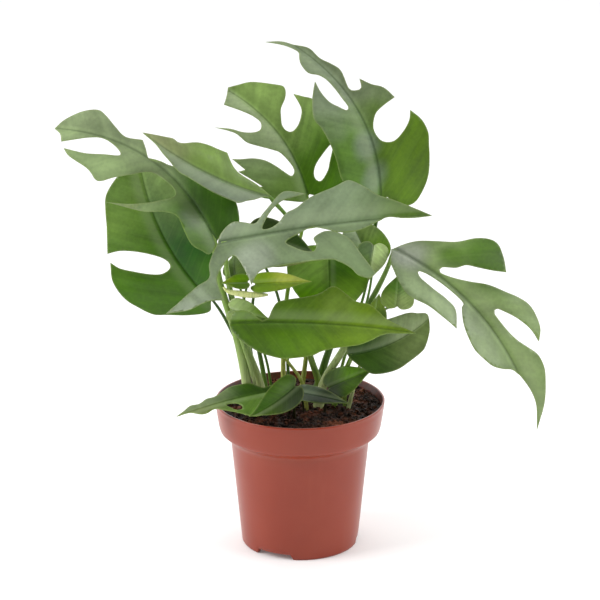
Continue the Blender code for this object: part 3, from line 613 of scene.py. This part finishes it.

# colours of the left and right half near the stalk and near the tip, where the change lies,
# and the material slot; the colours carry painted light: the greyish ones are painted sheen,
# the darkest ones painted shade, and some vivid yellow-green halves painted light shining through
leafTonesAndPaintedLight = {
    "leaf_upper_left": (
        (95, 134, 48), (58, 100, 4), (138, 160, 106), (152, 170, 124), 0.22, 0.5, "leaf_greyed"),
    "leaf_lower_left": (
        (66, 108, 4), (30, 82, 0), (114, 144, 64), (134, 160, 94), 0.3, 0.95, "leaf_deep"),
    "leaf_long_left": (
        (102, 118, 90), (110, 140, 54), (126, 144, 102), (144, 152, 104), 0.5, 0.9, "leaf_greyed"),
    "leaf_top_centre": (
        (102, 130, 60), (70, 110, 2), (152, 170, 124), (132, 160, 84), 0.1, 0.6, "leaf_bright"),
    "leaf_top_right": (
        (88, 124, 44), (88, 122, 18), (128, 144, 112), (122, 136, 102), 0.35, 0.7, "leaf_bright"),
    "leaf_centre": (
        (112, 130, 96), (108, 128, 86), (74, 104, 20), (92, 118, 60), 0.6, 0.95, "leaf_greyed"),
    "leaf_right": (
        (128, 154, 86), (132, 152, 104), (124, 146, 88), (120, 142, 86), 0.2, 0.7, "leaf_greyed"),
    "leaf_front": (
        (84, 118, 20), (74, 110, 4), (106, 136, 18), (110, 140, 32), 0.2, 0.8, "leaf_bright"),
    "leaf_round_right": (
        (42, 74, 4), (62, 94, 26), (150, 166, 120), (130, 150, 88), 0.15, 0.85, "leaf_deep"),
    "leaf_over_rim": (
        (86, 120, 34), (46, 78, 0), (98, 112, 52), (132, 148, 104), 0.3, 0.8, "leaf_deep"),
    "leaf_front_low": (
        (36, 54, 8), (72, 106, 16), (58, 84, 0), (58, 98, 0), 0.2, 0.7, "leaf_bright"),
    "leaf_dark_left": (
        (70, 94, 34), (104, 130, 62), (138, 166, 102), (118, 140, 88), 0.3, 0.8, "leaf_deep"),
    "leaf_shaded": (
        (40, 58, 16), (104, 116, 56), (36, 60, 14), (120, 130, 70), 0.3, 0.8, "leaf_deep"),
    "leaf_behind_centre": (
        (72, 118, 10), (118, 154, 62), (120, 162, 42), (90, 138, 6), 0.2, 0.6, "leaf_deep"),
    "leaf_back_right": (
        (104, 134, 60), (92, 128, 22), (146, 164, 126), (118, 144, 74), 0.2, 0.6, "leaf_deep"),
    "leaf_under_right": (
        (132, 160, 70), (154, 176, 104), (90, 134, 26), (112, 152, 72), 0.2, 0.6, "leaf_deep"),
    "leaf_small_grey": (
        (178, 202, 132), (84, 108, 62), (148, 168, 104), (96, 128, 30), 0.3, 0.8, "leaf_greyed"),
    "leaf_small_yellow": (
        (116, 150, 26), (70, 98, 0), (114, 146, 22), (124, 156, 24), 0.3, 0.8, "leaf_lime"),
    "leaf_small_left": (
        (146, 170, 102), (136, 158, 92), (112, 150, 30), (96, 130, 34), 0.3, 0.8, "leaf_greyed"),
    "leaf_low_right": (
        (64, 88, 26), (34, 50, 8), (104, 150, 30), (70, 104, 4), 0.1, 0.6, "leaf_deep"),
    "leaf_on_soil": (
        (86, 102, 82), (50, 64, 46), (26, 40, 16), (18, 30, 12), 0.1, 0.5, "leaf_greyed"),
    "new_leaf_right": (
        (130, 164, 18), (110, 146, 14), (196, 206, 84), (136, 164, 30), 0.2, 0.6, "leaf_lime"),
    "new_leaf_left": (
        (72, 108, 0), (102, 146, 0), (92, 124, 0), (132, 158, 30), 0.3, 0.8, "leaf_lime"),
}

# patches of another tone, mostly painted sheen and painted shade: how far along and across the
# blade, how far they reach, and the tone
leafPaintedLightPatches = {
    "leaf_right": [
        (0.31, 0.21, 0.20, (76, 116, 4)), (0.2, 0.1, 0.08, (84, 122, 20)),
        (0.05, 0.0, 0.12, (160, 168, 148))],
    "leaf_top_right": [
        (0.14, 0.04, 0.12, (112, 134, 98)), (0.34, 0.04, 0.12, (116, 136, 104)),
        (0.1, 0.3, 0.2, (72, 106, 30))],
    "leaf_centre": [(0.16, -0.14, 0.16, (134, 146, 122))],
    "leaf_lower_left": [(0.95, 0.2, 0.3, (92, 122, 50)), (0.12, -0.15, 0.2, (50, 96, 0))],
    "leaf_upper_left": [(0.2, 0.05, 0.12, (60, 92, 24))],
    "leaf_front": [(0.5, 0.12, 0.16, (110, 138, 46))],
}

blade = dict(
    edgeStep=1.6 * mm, grid=2.4 * mm, thickness=0.5 * mm, ribWidths=(0.5 * mm, 1.3 * mm),
    ribDepth=0.45 * mm, veins=9, veinLean=0.8, quilt=0.0020, ripple=0.010, puff=0.012,
    puffPlace=0.12, rimWidth=1.3 * mm, clouds=0.17, streaks=0.10, mottle=0.07, rimShade=0.16,
    # the tones for the vein hollows, the upper midrib and the far side of the midrib are painted shade,
    # and the tone beside the midrib is a painted highlight
    streakStretch=0.2, veinTone=(150, 176, 96), veinHollowShade=(20, 46, 6), ribGrooveShade=(34, 62, 12),
    ribUnder=(150, 176, 90), shadeTone=(26, 52, 4), ribSideHighlight=(176, 190, 150),
    ribSideShade=(24, 48, 6), rimTone=(142, 156, 84), underTone=(120, 158, 70))


def aboveCrown(point):
    return Vector((point[0] * mm, point[1] * mm, crownLevel + point[2] * mm))


def bladeSurface(leaf):
    # from (percent along, percent across) to a place on the blade
    leaf = {**leafShape, **leaf}
    foot = aboveCrown(leaf["foot"])
    chord = aboveCrown(leaf["tip"]) - foot
    bend = math.radians(leaf["droop"])
    length = chord.length * (bend / 2) / math.sin(bend / 2)
    straight = chord.normalized()
    facing = Vector(leaf["face"])
    facing = (facing - facing.dot(straight) * straight).normalized()
    along = math.cos(bend / 2) * straight + math.sin(bend / 2) * facing
    up = math.cos(bend / 2) * facing - math.sin(bend / 2) * straight
    left = up.cross(along)
    fold = math.radians(leaf["fold"])
    curl = math.radians(leaf["curl"])
    bow = leaf["bow"]
    phase = foot.x * 40

    def place(percentAlong, percentAcross):
        s = percentAlong / 100
        arc = 4 * s * (1 - s) / 100
        w = percentAcross / 100 - bow * arc
        rise = math.sin(fold) * (math.sqrt(w * w + 0.0004) - 0.02) - curl * w * w
        # the blade puffs up between its side veins and ripples towards its margin
        outwards = min(1, abs(w) / 0.3)
        lateral = (s - abs(w) * blade["veinLean"]) * blade["veins"]
        rise += blade["quilt"] * outwards * (1 - math.cos(math.tau * lateral)) / 2
        rise += blade["puff"] * abs(w) / blade["puffPlace"] * math.exp(1 - abs(w) / blade["puffPlace"])
        side = 1 if w > 0 else -1
        rise += blade["ripple"] * outwards ** 2 * math.sin(math.tau * (1.9 * s + 0.25 * side) + phase)
        across = w * math.cos(fold) + (leaf["sweep"] + bow) * arc
        forward = math.sin(bend * s) / bend + rise * math.sin(bend * s)
        height = (math.cos(bend * s) - 1) / bend + rise * math.cos(bend * s)
        return foot + length * (forward * along + across * left + height * up)

    return place, length


def ribLine(leaf, s):
    # how far to the left of the straight line the midrib runs, in percent
    return leaf.get("bow", 0) * 4 * s * (100 - s) / 10000


def bladeNormal(place, s, w):
    here = place(s, w)
    return (place(s + 0.5, w) - here).cross(place(s, w + 0.5) - here).normalized()


def smoothMargin(points, step):
    count = len(points)
    flat = [Vector(point[:2]) for point in points]
    pointed = [len(point) > 2 for point in points]
    margin = []
    for i in range(count):
        start, end = flat[i], flat[(i + 1) % count]
        before, after = flat[i - 1], flat[(i + 2) % count]
        leave = (end - start) / 3 if pointed[i] else (end - before) / 6
        arrive = (end - start) / 3 if pointed[(i + 1) % count] else (after - start) / 6
        pieces = max(1, round((end - start).length / step))
        for k in range(pieces):
            t = k / pieces
            margin.append(
                (1 - t) ** 3 * start + 3 * (1 - t) ** 2 * t * (start + leave)
                + 3 * (1 - t) * t ** 2 * (end - arrive) + t ** 3 * end)
    return margin


def bladeTonesAndPaintedLight(s, name, look, along, across, wander):
    # each half's tone from the foot to the tip, and the patches over it, with the painted sheen and
    # painted shade that those tables hold
    leftFoot, rightFoot, leftTip, rightTip, turnFrom, turnTo, _ = look
    side = s.ramp(s.sum("ADD", across, s.sum("MULTIPLY", wander, 0.05)), -0.03, 0.03)
    reach = s.ramp(s.sum("ADD", along, s.sum("MULTIPLY", wander, 0.5)), turnFrom, turnTo)
    foot = s.mix(side, colourOf(*rightFoot), colourOf(*leftFoot))
    tip = s.mix(side, colourOf(*rightTip), colourOf(*leftTip))
    colour = s.mix(reach, foot, tip)
    for patchAlong, patchAcross, patchReach, patchTone in leafPaintedLightPatches.get(name, []):
        apart = s.node("ShaderNodeVectorMath", operation="DISTANCE")
        s.join(s.node("ShaderNodeUVMap", uv_map="blade").outputs[0], apart.inputs[0])
        apart.inputs[1].default_value = (patchAlong, patchAcross, 0)
        gap = s.sum("ADD", apart.outputs["Value"], s.sum("MULTIPLY", wander, 0.08))
        share = s.ramp(gap, 0.3 * patchReach, patchReach, 1.0, 0.0)
        colour = s.mix(share, colour, colourOf(*patchTone))
    return colour


def cloudedTone(s, colour, lean, across, even):
    # streaks along the side veins, clouds and a fine mottling
    flow = s.node("ShaderNodeCombineXYZ")
    s.join(lean, flow.inputs[0])
    s.join(s.sum("MULTIPLY", across, blade["streakStretch"]), flow.inputs[1])
    streaks, clouds, mottle = even * blade["streaks"], even * blade["clouds"], blade["mottle"]
    shade = s.ramp(s.grain(15, 3, flow.outputs[0]), 0.34, 0.66, 1 - streaks, 1 + streaks)
    shade = s.sum("ADD", shade, s.ramp(s.grain(22, 1), 0.3, 0.7, -clouds, clouds))
    shade = s.sum("ADD", shade, s.ramp(s.grain(420, 4), 0.3, 0.7, -mottle, mottle))
    scaled = s.node("ShaderNodeVectorMath", operation="SCALE")
    s.join(colour, scaled.inputs[0])
    s.join(shade, scaled.inputs["Scale"])
    return scaled.outputs[0]


def bladeMaterial(name, look, under=False):
    slot = look[6]
    greyed = slot == "leaf_greyed"
    even = 0.4 if slot == "leaf_lime" else 1.0
    s = Shader(name + (" under" if under else " upper"))
    split = s.node("ShaderNodeSeparateXYZ")
    s.join(s.node("ShaderNodeUVMap", uv_map="blade").outputs[0], split.inputs[0])
    along, across = split.outputs[0], split.outputs[1]
    width = s.sum("ABSOLUTE", across)
    wander = s.sum("SUBTRACT", s.grain(26, 2), 0.5)
    # side veins leave the midrib and lean towards the tip
    lean = s.sum("SUBTRACT", along, s.sum("MULTIPLY", width, blade["veinLean"]))
    lean = s.sum("ADD", lean, s.sum("MULTIPLY", wander, 0.03))
    colour = cloudedTone(s, bladeTonesAndPaintedLight(s, name, look, along, across, wander), lean, across, even)
    fromVein = s.sum("PINGPONG", s.sum("MULTIPLY", lean, blade["veins"]), 0.5)
    pillow = s.ramp(fromVein, 0.05, 0.4, 0.0, 1.0)
    coarse = s.ramp(fromVein, 0.0, 0.09, 1.0, 0.0)
    fine = s.sum("PINGPONG", s.sum("MULTIPLY", lean, blade["veins"] * 5), 0.5)
    fine = s.ramp(fine, 0.0, 0.16, 0.3, 0.0)
    fading = s.ramp(width, 0.1, 0.42, 1.0, 0.15)
    veins = s.sum("MULTIPLY", s.sum("MAXIMUM", coarse, fine), fading)
    midrib = s.ramp(s.sum("ADD", width, s.sum("MULTIPLY", along, 0.008)), 0.006, 0.017, 1.0, 0.0)
    veinShare = s.sum("MULTIPLY", veins, 0.25 if under else 0.05)
    colour = s.mix(veinShare, colour, colourOf(*blade["veinTone"]))
    # painted shade in the hollows along the side veins, in patches
    patchy = s.ramp(s.grain(48, 2), 0.35, 0.65, 0.0, 0.14 * even)
    hollowShade = s.sum("MULTIPLY", s.sum("SUBTRACT", 1.0, pillow), patchy)
    colour = s.mix(hollowShade, colour, colourOf(*blade["veinHollowShade"]))
    # on the upper side the midrib groove gets painted shade; underneath it keeps its own pale colour
    ribColour = s.mix(0.5, colour, colourOf(*blade["ribUnder" if under else "ribGrooveShade"]))
    colour = s.mix(s.sum("MULTIPLY", midrib, 0.8), colour, ribColour)
    # the margin darkens inwards, and the midrib gets a painted highlight on its left side and
    # painted shade on its right side
    edge = s.node("ShaderNodeAttribute", attribute_name="rim").outputs["Fac"]
    shaded = s.ramp(edge, 0.5 * mm, 6 * mm, blade["rimShade"], 0.0)
    colour = s.mix(shaded, colour, colourOf(*blade["shadeTone"]))
    beside = s.sum("MULTIPLY", s.ramp(across, 0.012, 0.03), s.ramp(across, 0.04, 0.11, 1.0, 0.0))
    colour = s.mix(s.sum("MULTIPLY", beside, 0.16), colour, colourOf(*blade["ribSideHighlight"]))
    beyond = s.sum(
        "MULTIPLY", s.ramp(across, -0.03, -0.012, 1.0, 0.0), s.ramp(across, -0.12, -0.04))
    colour = s.mix(s.sum("MULTIPLY", beyond, 0.2), colour, colourOf(*blade["ribSideShade"]))
    rimLine = s.ramp(edge, 0.0, blade["rimWidth"], 0.32, 0.0)
    colour = s.mix(rimLine, colour, colourOf(*blade["rimTone"]))
    if under:
        colour = s.mix(0.35, colour, colourOf(*blade["underTone"]))
        rough = s.ramp(s.grain(300), 0.3, 0.7, 0.5, 0.62)
    else:
        sheen = (0.30, 0.46) if greyed else (0.34, 0.52)
        rough = s.ramp(s.grain(60, 4), 0.3, 0.7, *sheen)
    s.set(Base_Color=colour, Roughness=rough)
    s.set(Specular_IOR_Level=0.2 if under else 0.5 if greyed else 0.26)
    height = s.sum("MULTIPLY", veins, 0.9 if under else -0.12)
    height = s.sum("ADD", height, s.sum("MULTIPLY", s.cells(1500), 0.22))
    height = s.sum("ADD", height, s.sum("MULTIPLY", s.grain(700, 3), 0.3))
    s.bump(height, 0.35, 0.0003)
    return s.material


def makeBlade(name, leaf):
    place, length = bladeSurface(leaf)
    percent = 100 / length
    bm = bmesh.new()
    outlines = [leaf[key] for key in ("margin", "hole") if key in leaf]
    loops = [smoothMargin(outline, blade["edgeStep"] * percent) for outline in outlines]
    for loop in loops:
        ring = [bm.verts.new((point.x, point.y, 0)) for point in loop]
        for pair in zip(ring, ring[1:] + ring[:1]):
            bm.edges.new(pair)
    bmesh.ops.triangle_fill(bm, use_beauty=True, use_dissolve=False, edges=bm.edges[:])
    # the flat blade is cut into a grid, with closer cuts beside the midrib
    step = blade["grid"] * percent
    ribs = [sign * wide * percent for wide in blade["ribWidths"] for sign in (-1, 1)] + [0]
    low = min(point.y for point in loops[0])
    high = max(point.y for point in loops[0])
    rows = [k * step for k in range(int(low / step), int(high / step) + 1) if abs(k) > 0] + ribs
    near = min(point.x for point in loops[0])
    far = max(point.x for point in loops[0])
    columns = [k * step for k in range(int(near / step), int(far / step) + 1)]
    for vert in bm.verts:
        vert.co.y -= ribLine(leaf, vert.co.x)
    for normal, cuts in (((0, 1, 0), rows), ((1, 0, 0), columns)):
        for cut in cuts:
            at = [cut * n for n in normal]
            bmesh.ops.bisect_plane(
                bm, geom=bm.verts[:] + bm.edges[:] + bm.faces[:], dist=1e-4, plane_co=at,
                plane_no=normal)
    slanted = [
        edge for edge in bm.edges if len(edge.link_faces) == 2
        and abs(edge.verts[0].co.x - edge.verts[1].co.x) > 1e-3
        and abs(edge.verts[0].co.y - edge.verts[1].co.y) > 1e-3]
    bmesh.ops.dissolve_edges(bm, edges=slanted, use_verts=False)
    downwards = [face for face in bm.faces if face.normal.z < 0]
    bmesh.ops.reverse_faces(bm, faces=downwards)
    # the distance to the margin is kept at each point for the pale rim
    tree = KDTree(sum(len(loop) for loop in loops) * 4)
    for loop in loops:
        for here, there in zip(loop, loop[1:] + loop[:1]):
            for quarter in range(4):
                tree.insert((*here.lerp(there, quarter / 4), 0), 0)
    tree.balance()
    rim = bm.verts.layers.float.new("rim")
    layer = bm.loops.layers.uv.new("blade")
    for face in bm.faces:
        for corner in face.loops:
            corner[layer].uv = (corner.vert.co.x / 100, corner.vert.co.y / 100)
    for vert in bm.verts:
        s, off = vert.co.x, vert.co.y
        w = off + ribLine(leaf, s)
        vert[rim] = tree.find((s, w, 0))[2] / percent
        groove = blade["ribDepth"] * math.exp(-(off / (1.1 * ribs[1])) ** 2)
        groove *= max(0, 1 - max(0, s) / 110)
        vert.co = place(s, w) - groove * bladeNormal(place, s, w)
    skins = [bladeMaterial(name, leafTonesAndPaintedLight[name], under) for under in (False, True)]
    piece = finished(name + "_blade", bm, *skins)
    shell = piece.modifiers.new("thickness", "SOLIDIFY")
    shell.thickness = blade["thickness"]
    shell.offset = -0.4
    shell.material_offset = 1
    shell.material_offset_rim = 1
    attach(piece, "root")
    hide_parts(name)


stalk = dict(
    sides=5, sunk=5 * mm, taper=1.6, ribReach=62, ribSteps=12, steps=8, swellFoot=0.35,
    swellTop=0.45, streak=(44, 78, 16),
    paleFoot=(196, 204, 146), paleTop=(120, 150, 66), greenFoot=(136, 160, 74), greenTop=(88, 124, 34),
    darkFoot=(92, 124, 44), darkTop=(58, 90, 22), goldFoot=(178, 180, 92), goldTop=(112, 142, 40),
    # the next tone is painted shade for stalk feet in shadow under the low leaves
    paintedShadeFoot=(42, 34, 20), paintedShadeTop=(62, 84, 28),
    freshFoot=(208, 214, 142), freshTop=(208, 214, 142))

# the tone of a stalk and how much stouter than its base size it is drawn; the others are green;
# the tone given to the stalk feet under the low front leaves is painted shade
stalkLooks = {
    "stalk_upper_left": ("pale", 1.08), "stalk_centre": ("pale", 1.05),
    "stalk_small_left": ("pale", 1.2), "stalk_right": ("pale", 1.1),
    "stalk_front": ("gold", 1.0), "stalk_top_centre": ("gold", 0.9),
    "stalk_top_right": ("dark", 1.1), "stalk_long_left": ("green", 1.1),
    "stalk_shaded": ("dark", 1.0), "stalk_front_low": ("paintedShade", 0.8),
    "stalk_over_rim": ("paintedShade", 0.8), "stalk_on_soil": ("paintedShade", 0.8),
    "stalk_low_right": ("paintedShade", 0.9), "new_stalk_right": ("dark", 1.3),
    "stalk_lower_left": ("dark", 1.0), "stalk_dark_left": ("dark", 1.0),
    "stalk_under_right": ("gold", 1.0), "stalk_behind_centre": ("gold", 0.8),
    "stalk_small_yellow": ("pale", 1.1),
}


def stalkMaterial(tone):
    s = Shader("stalk " + tone)
    height = s.node("ShaderNodeSeparateXYZ")
    s.join(s.places(), height.inputs[0])
    level = s.sum("ADD", height.outputs[2], s.sum("MULTIPLY", s.grain(22, 2), 0.05))
    streak = s.grain(1, 4, s.stretched((900, 900, 45)))
    reach = s.ramp(level, soilLevel + 0.02, soilLevel + 0.10)
    colour = s.mix(reach, colourOf(*stalk[tone + "Foot"]), colourOf(*stalk[tone + "Top"]))
    colour = s.mix(s.ramp(streak, 0.45, 0.75, 0, 0.45), colour, colourOf(*stalk["streak"]))
    rough = s.ramp(s.grain(200), 0.3, 0.7, 0.34, 0.5)
    s.set(Base_Color=colour, Roughness=rough, Specular_IOR_Level=0.35)
    s.set(Subsurface_Weight=0.08, Subsurface_Radius=(0.8, 1.0, 0.3), Subsurface_Scale=0.002)
    s.bump(streak, 0.3, 0.0003)
    return s.material


def tube(name, route, radii, material):
    curve = bpy.data.curves.new(name, "CURVE")
    curve.dimensions = "3D"
    curve.bevel_depth = 1
    curve.bevel_resolution = stalk["sides"]
    curve.use_fill_caps = True
    spline = curve.splines.new("POLY")
    spline.points.add(len(route) - 1)
    for point, at, radius in zip(spline.points, route, radii):
        point.co = (*at, 1)
        point.radius = radius
    mesh = meshOf(curve)
    mesh.shade_smooth()
    return placed(name, mesh, material)


def makeStalk(name, leaf, materials):
    # from inside the peat up to the blade's foot, then on as the rib under the blade
    place, _ = bladeSurface(leaf)
    tone, stout = stalkLooks.get(name, ("green", 1.0))
    thick, stations = leaf["stalk"]
    thin = max(0.45 * thick, 0.7) * mm
    route = [aboveCrown((x, y, z)) for x, y, z in stations]
    route[0].z = soilLevel - stalk["sunk"]
    foot = place(1, ribLine(leaf, 1)) - bladeNormal(place, 1, 0) * (blade["thickness"] + 0.6 * thin)
    route = smoothRoute(route + [foot], stalk["steps"])
    radii = []
    full = stout * thick * mm
    for k in range(len(route)):
        share = k / (len(route) - 1)
        # the stalk swells at the peat and at its joint with the blade
        swell = 1 + stalk["swellTop"] * math.exp(-((share - 0.97) / 0.05) ** 2)
        swell += stalk["swellFoot"] * math.exp(-(share / 0.15) ** 2)
        radii.append((full + (thin - full) * share ** stalk["taper"]) * swell)
    for k in range(1, stalk["ribSteps"] + 1):
        s = stalk["ribReach"] * k / stalk["ribSteps"]
        radius = max(0.25 * mm, 1.1 * thin * (1 - k / (stalk["ribSteps"] + 1)))
        w = ribLine(leaf, s)
        route.append(place(s, w) - bladeNormal(place, s, w) * (blade["ribDepth"] + radius + 0.1 * mm))
        radii.append(radius)
    piece = tube(name + "_skin", route, radii, materials[tone])
    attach(piece, "root")
    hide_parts(name)


stalkTones = ("pale", "green", "dark", "gold", "paintedShade", "fresh")
stalkSkins = {tone: stalkMaterial(tone) for tone in stalkTones}
for leafName, leafDesign in leafDesigns.items():
    makeBlade(leafName, leafDesign)
    makeStalk(leafName.replace("leaf", "stalk"), leafDesign, stalkSkins)
    print("made", leafName)

# the pale sheath that the two newest leaves break out of
sheath = dict(
    route=[
        (-53, -25, 101), (-49, -26, 98), (-42, -27, 97), (-34, -27, 96), (-27, -27, 96),
        (-22, -27, 96)],
    radii=[0.6, 1.5, 2.1, 2.2, 1.7, 0.7], steps=6)
sheathRoute = smoothRoute([aboveCrown(point) for point in sheath["route"]], sheath["steps"])
sheathWidths = [Vector((radius, 0, 0)) for radius in sheath["radii"]]
sheathRadii = [width.x * mm for width in smoothRoute(sheathWidths, sheath["steps"])]
sheathPiece = tube("growth_sheath", sheathRoute, sheathRadii, stalkSkins["fresh"])
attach(sheathPiece, "root")
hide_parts("new_stalk_left")
print("made the sheath")


# floor, light and camera
studio = dict(
    backWall=(-0.25, 0.55, 0.12, 1.5), topWall=(0.3, 0.95, 0.1, 0.8), floorSize=8.0,
    lights={"key": ((-1.7, -0.45, 1.25), 1.1, 30), "fill": ((1.6, -0.5, 1.1), 1.1, 17)},
    target=(0, 0, 0.18), distance=1.8, elevation=18, lens=154.4)


def makeFloor():
    bm = bmesh.new()
    bmesh.ops.create_grid(bm, x_segments=2, y_segments=2, size=studio["floorSize"] / 2)
    s = Shader("studio floor")
    s.set(Base_Color=(0.9, 0.9, 0.9, 1), Roughness=0.9)
    s.set(Emission_Color=(1, 1, 1, 1), Emission_Strength=0.1)
    floor = finished("floor", bm, s.material)


def makeLight(name, place, size, power):
    lamp = bpy.data.lights.new(name, "AREA")
    lamp.size = size
    lamp.energy = power
    thing = bpy.data.objects.new(name, lamp)
    thing.location = place
    aim = Vector(studio["target"]) - thing.location
    thing.rotation_euler = aim.to_track_quat("-Z", "Y").to_euler()
    bpy.context.scene.collection.objects.link(thing)


def makeCamera():
    lift = math.radians(studio["elevation"])
    back = Vector((0, -math.cos(lift), math.sin(lift)))
    camera = bpy.data.objects.new("camera", bpy.data.cameras.new("camera"))
    camera.location = Vector(studio["target"]) + back * studio["distance"]
    camera.rotation_euler = (math.radians(90) - lift, 0, 0)
    camera.data.lens = studio["lens"]
    camera.data.sensor_width = 36
    bpy.context.scene.collection.objects.link(camera)
    bpy.context.scene.camera = camera


def makeWorld():
    # a white room whose back and top walls are bright and whose front is dim
    world = bpy.data.worlds.new("studio")
    world.use_nodes = True
    tree = world.node_tree
    split = tree.nodes.new("ShaderNodeSeparateXYZ")
    tree.links.new(tree.nodes.new("ShaderNodeTexCoord").outputs["Generated"], split.inputs[0])
    walls = []
    for axis, (low, high, dim, bright) in ((1, studio["backWall"]), (2, studio["topWall"])):
        wall = tree.nodes.new("ShaderNodeMapRange")
        wall.interpolation_type = "SMOOTHSTEP"
        tree.links.new(split.outputs[axis], wall.inputs[0])
        for value, socket in zip((low, high, dim, bright), wall.inputs[1:]):
            socket.default_value = value
        walls.append(wall)
    brighter = tree.nodes.new("ShaderNodeMath")
    brighter.operation = "MAXIMUM"
    for wall, socket in zip(walls, brighter.inputs):
        tree.links.new(wall.outputs[0], socket)
    tree.links.new(brighter.outputs[0], tree.nodes["Background"].inputs["Strength"])
    tree.nodes["Background"].inputs["Color"].default_value = (1, 1, 1, 1)
    bpy.context.scene.world = world


makeWorld()
bpy.context.scene.view_settings.view_transform = "Standard"
makeFloor()
for lightName, (lightPlace, lightSize, lightPower) in studio["lights"].items():
    makeLight(lightName, lightPlace, lightSize, lightPower)
makeCamera()
print("studio made")
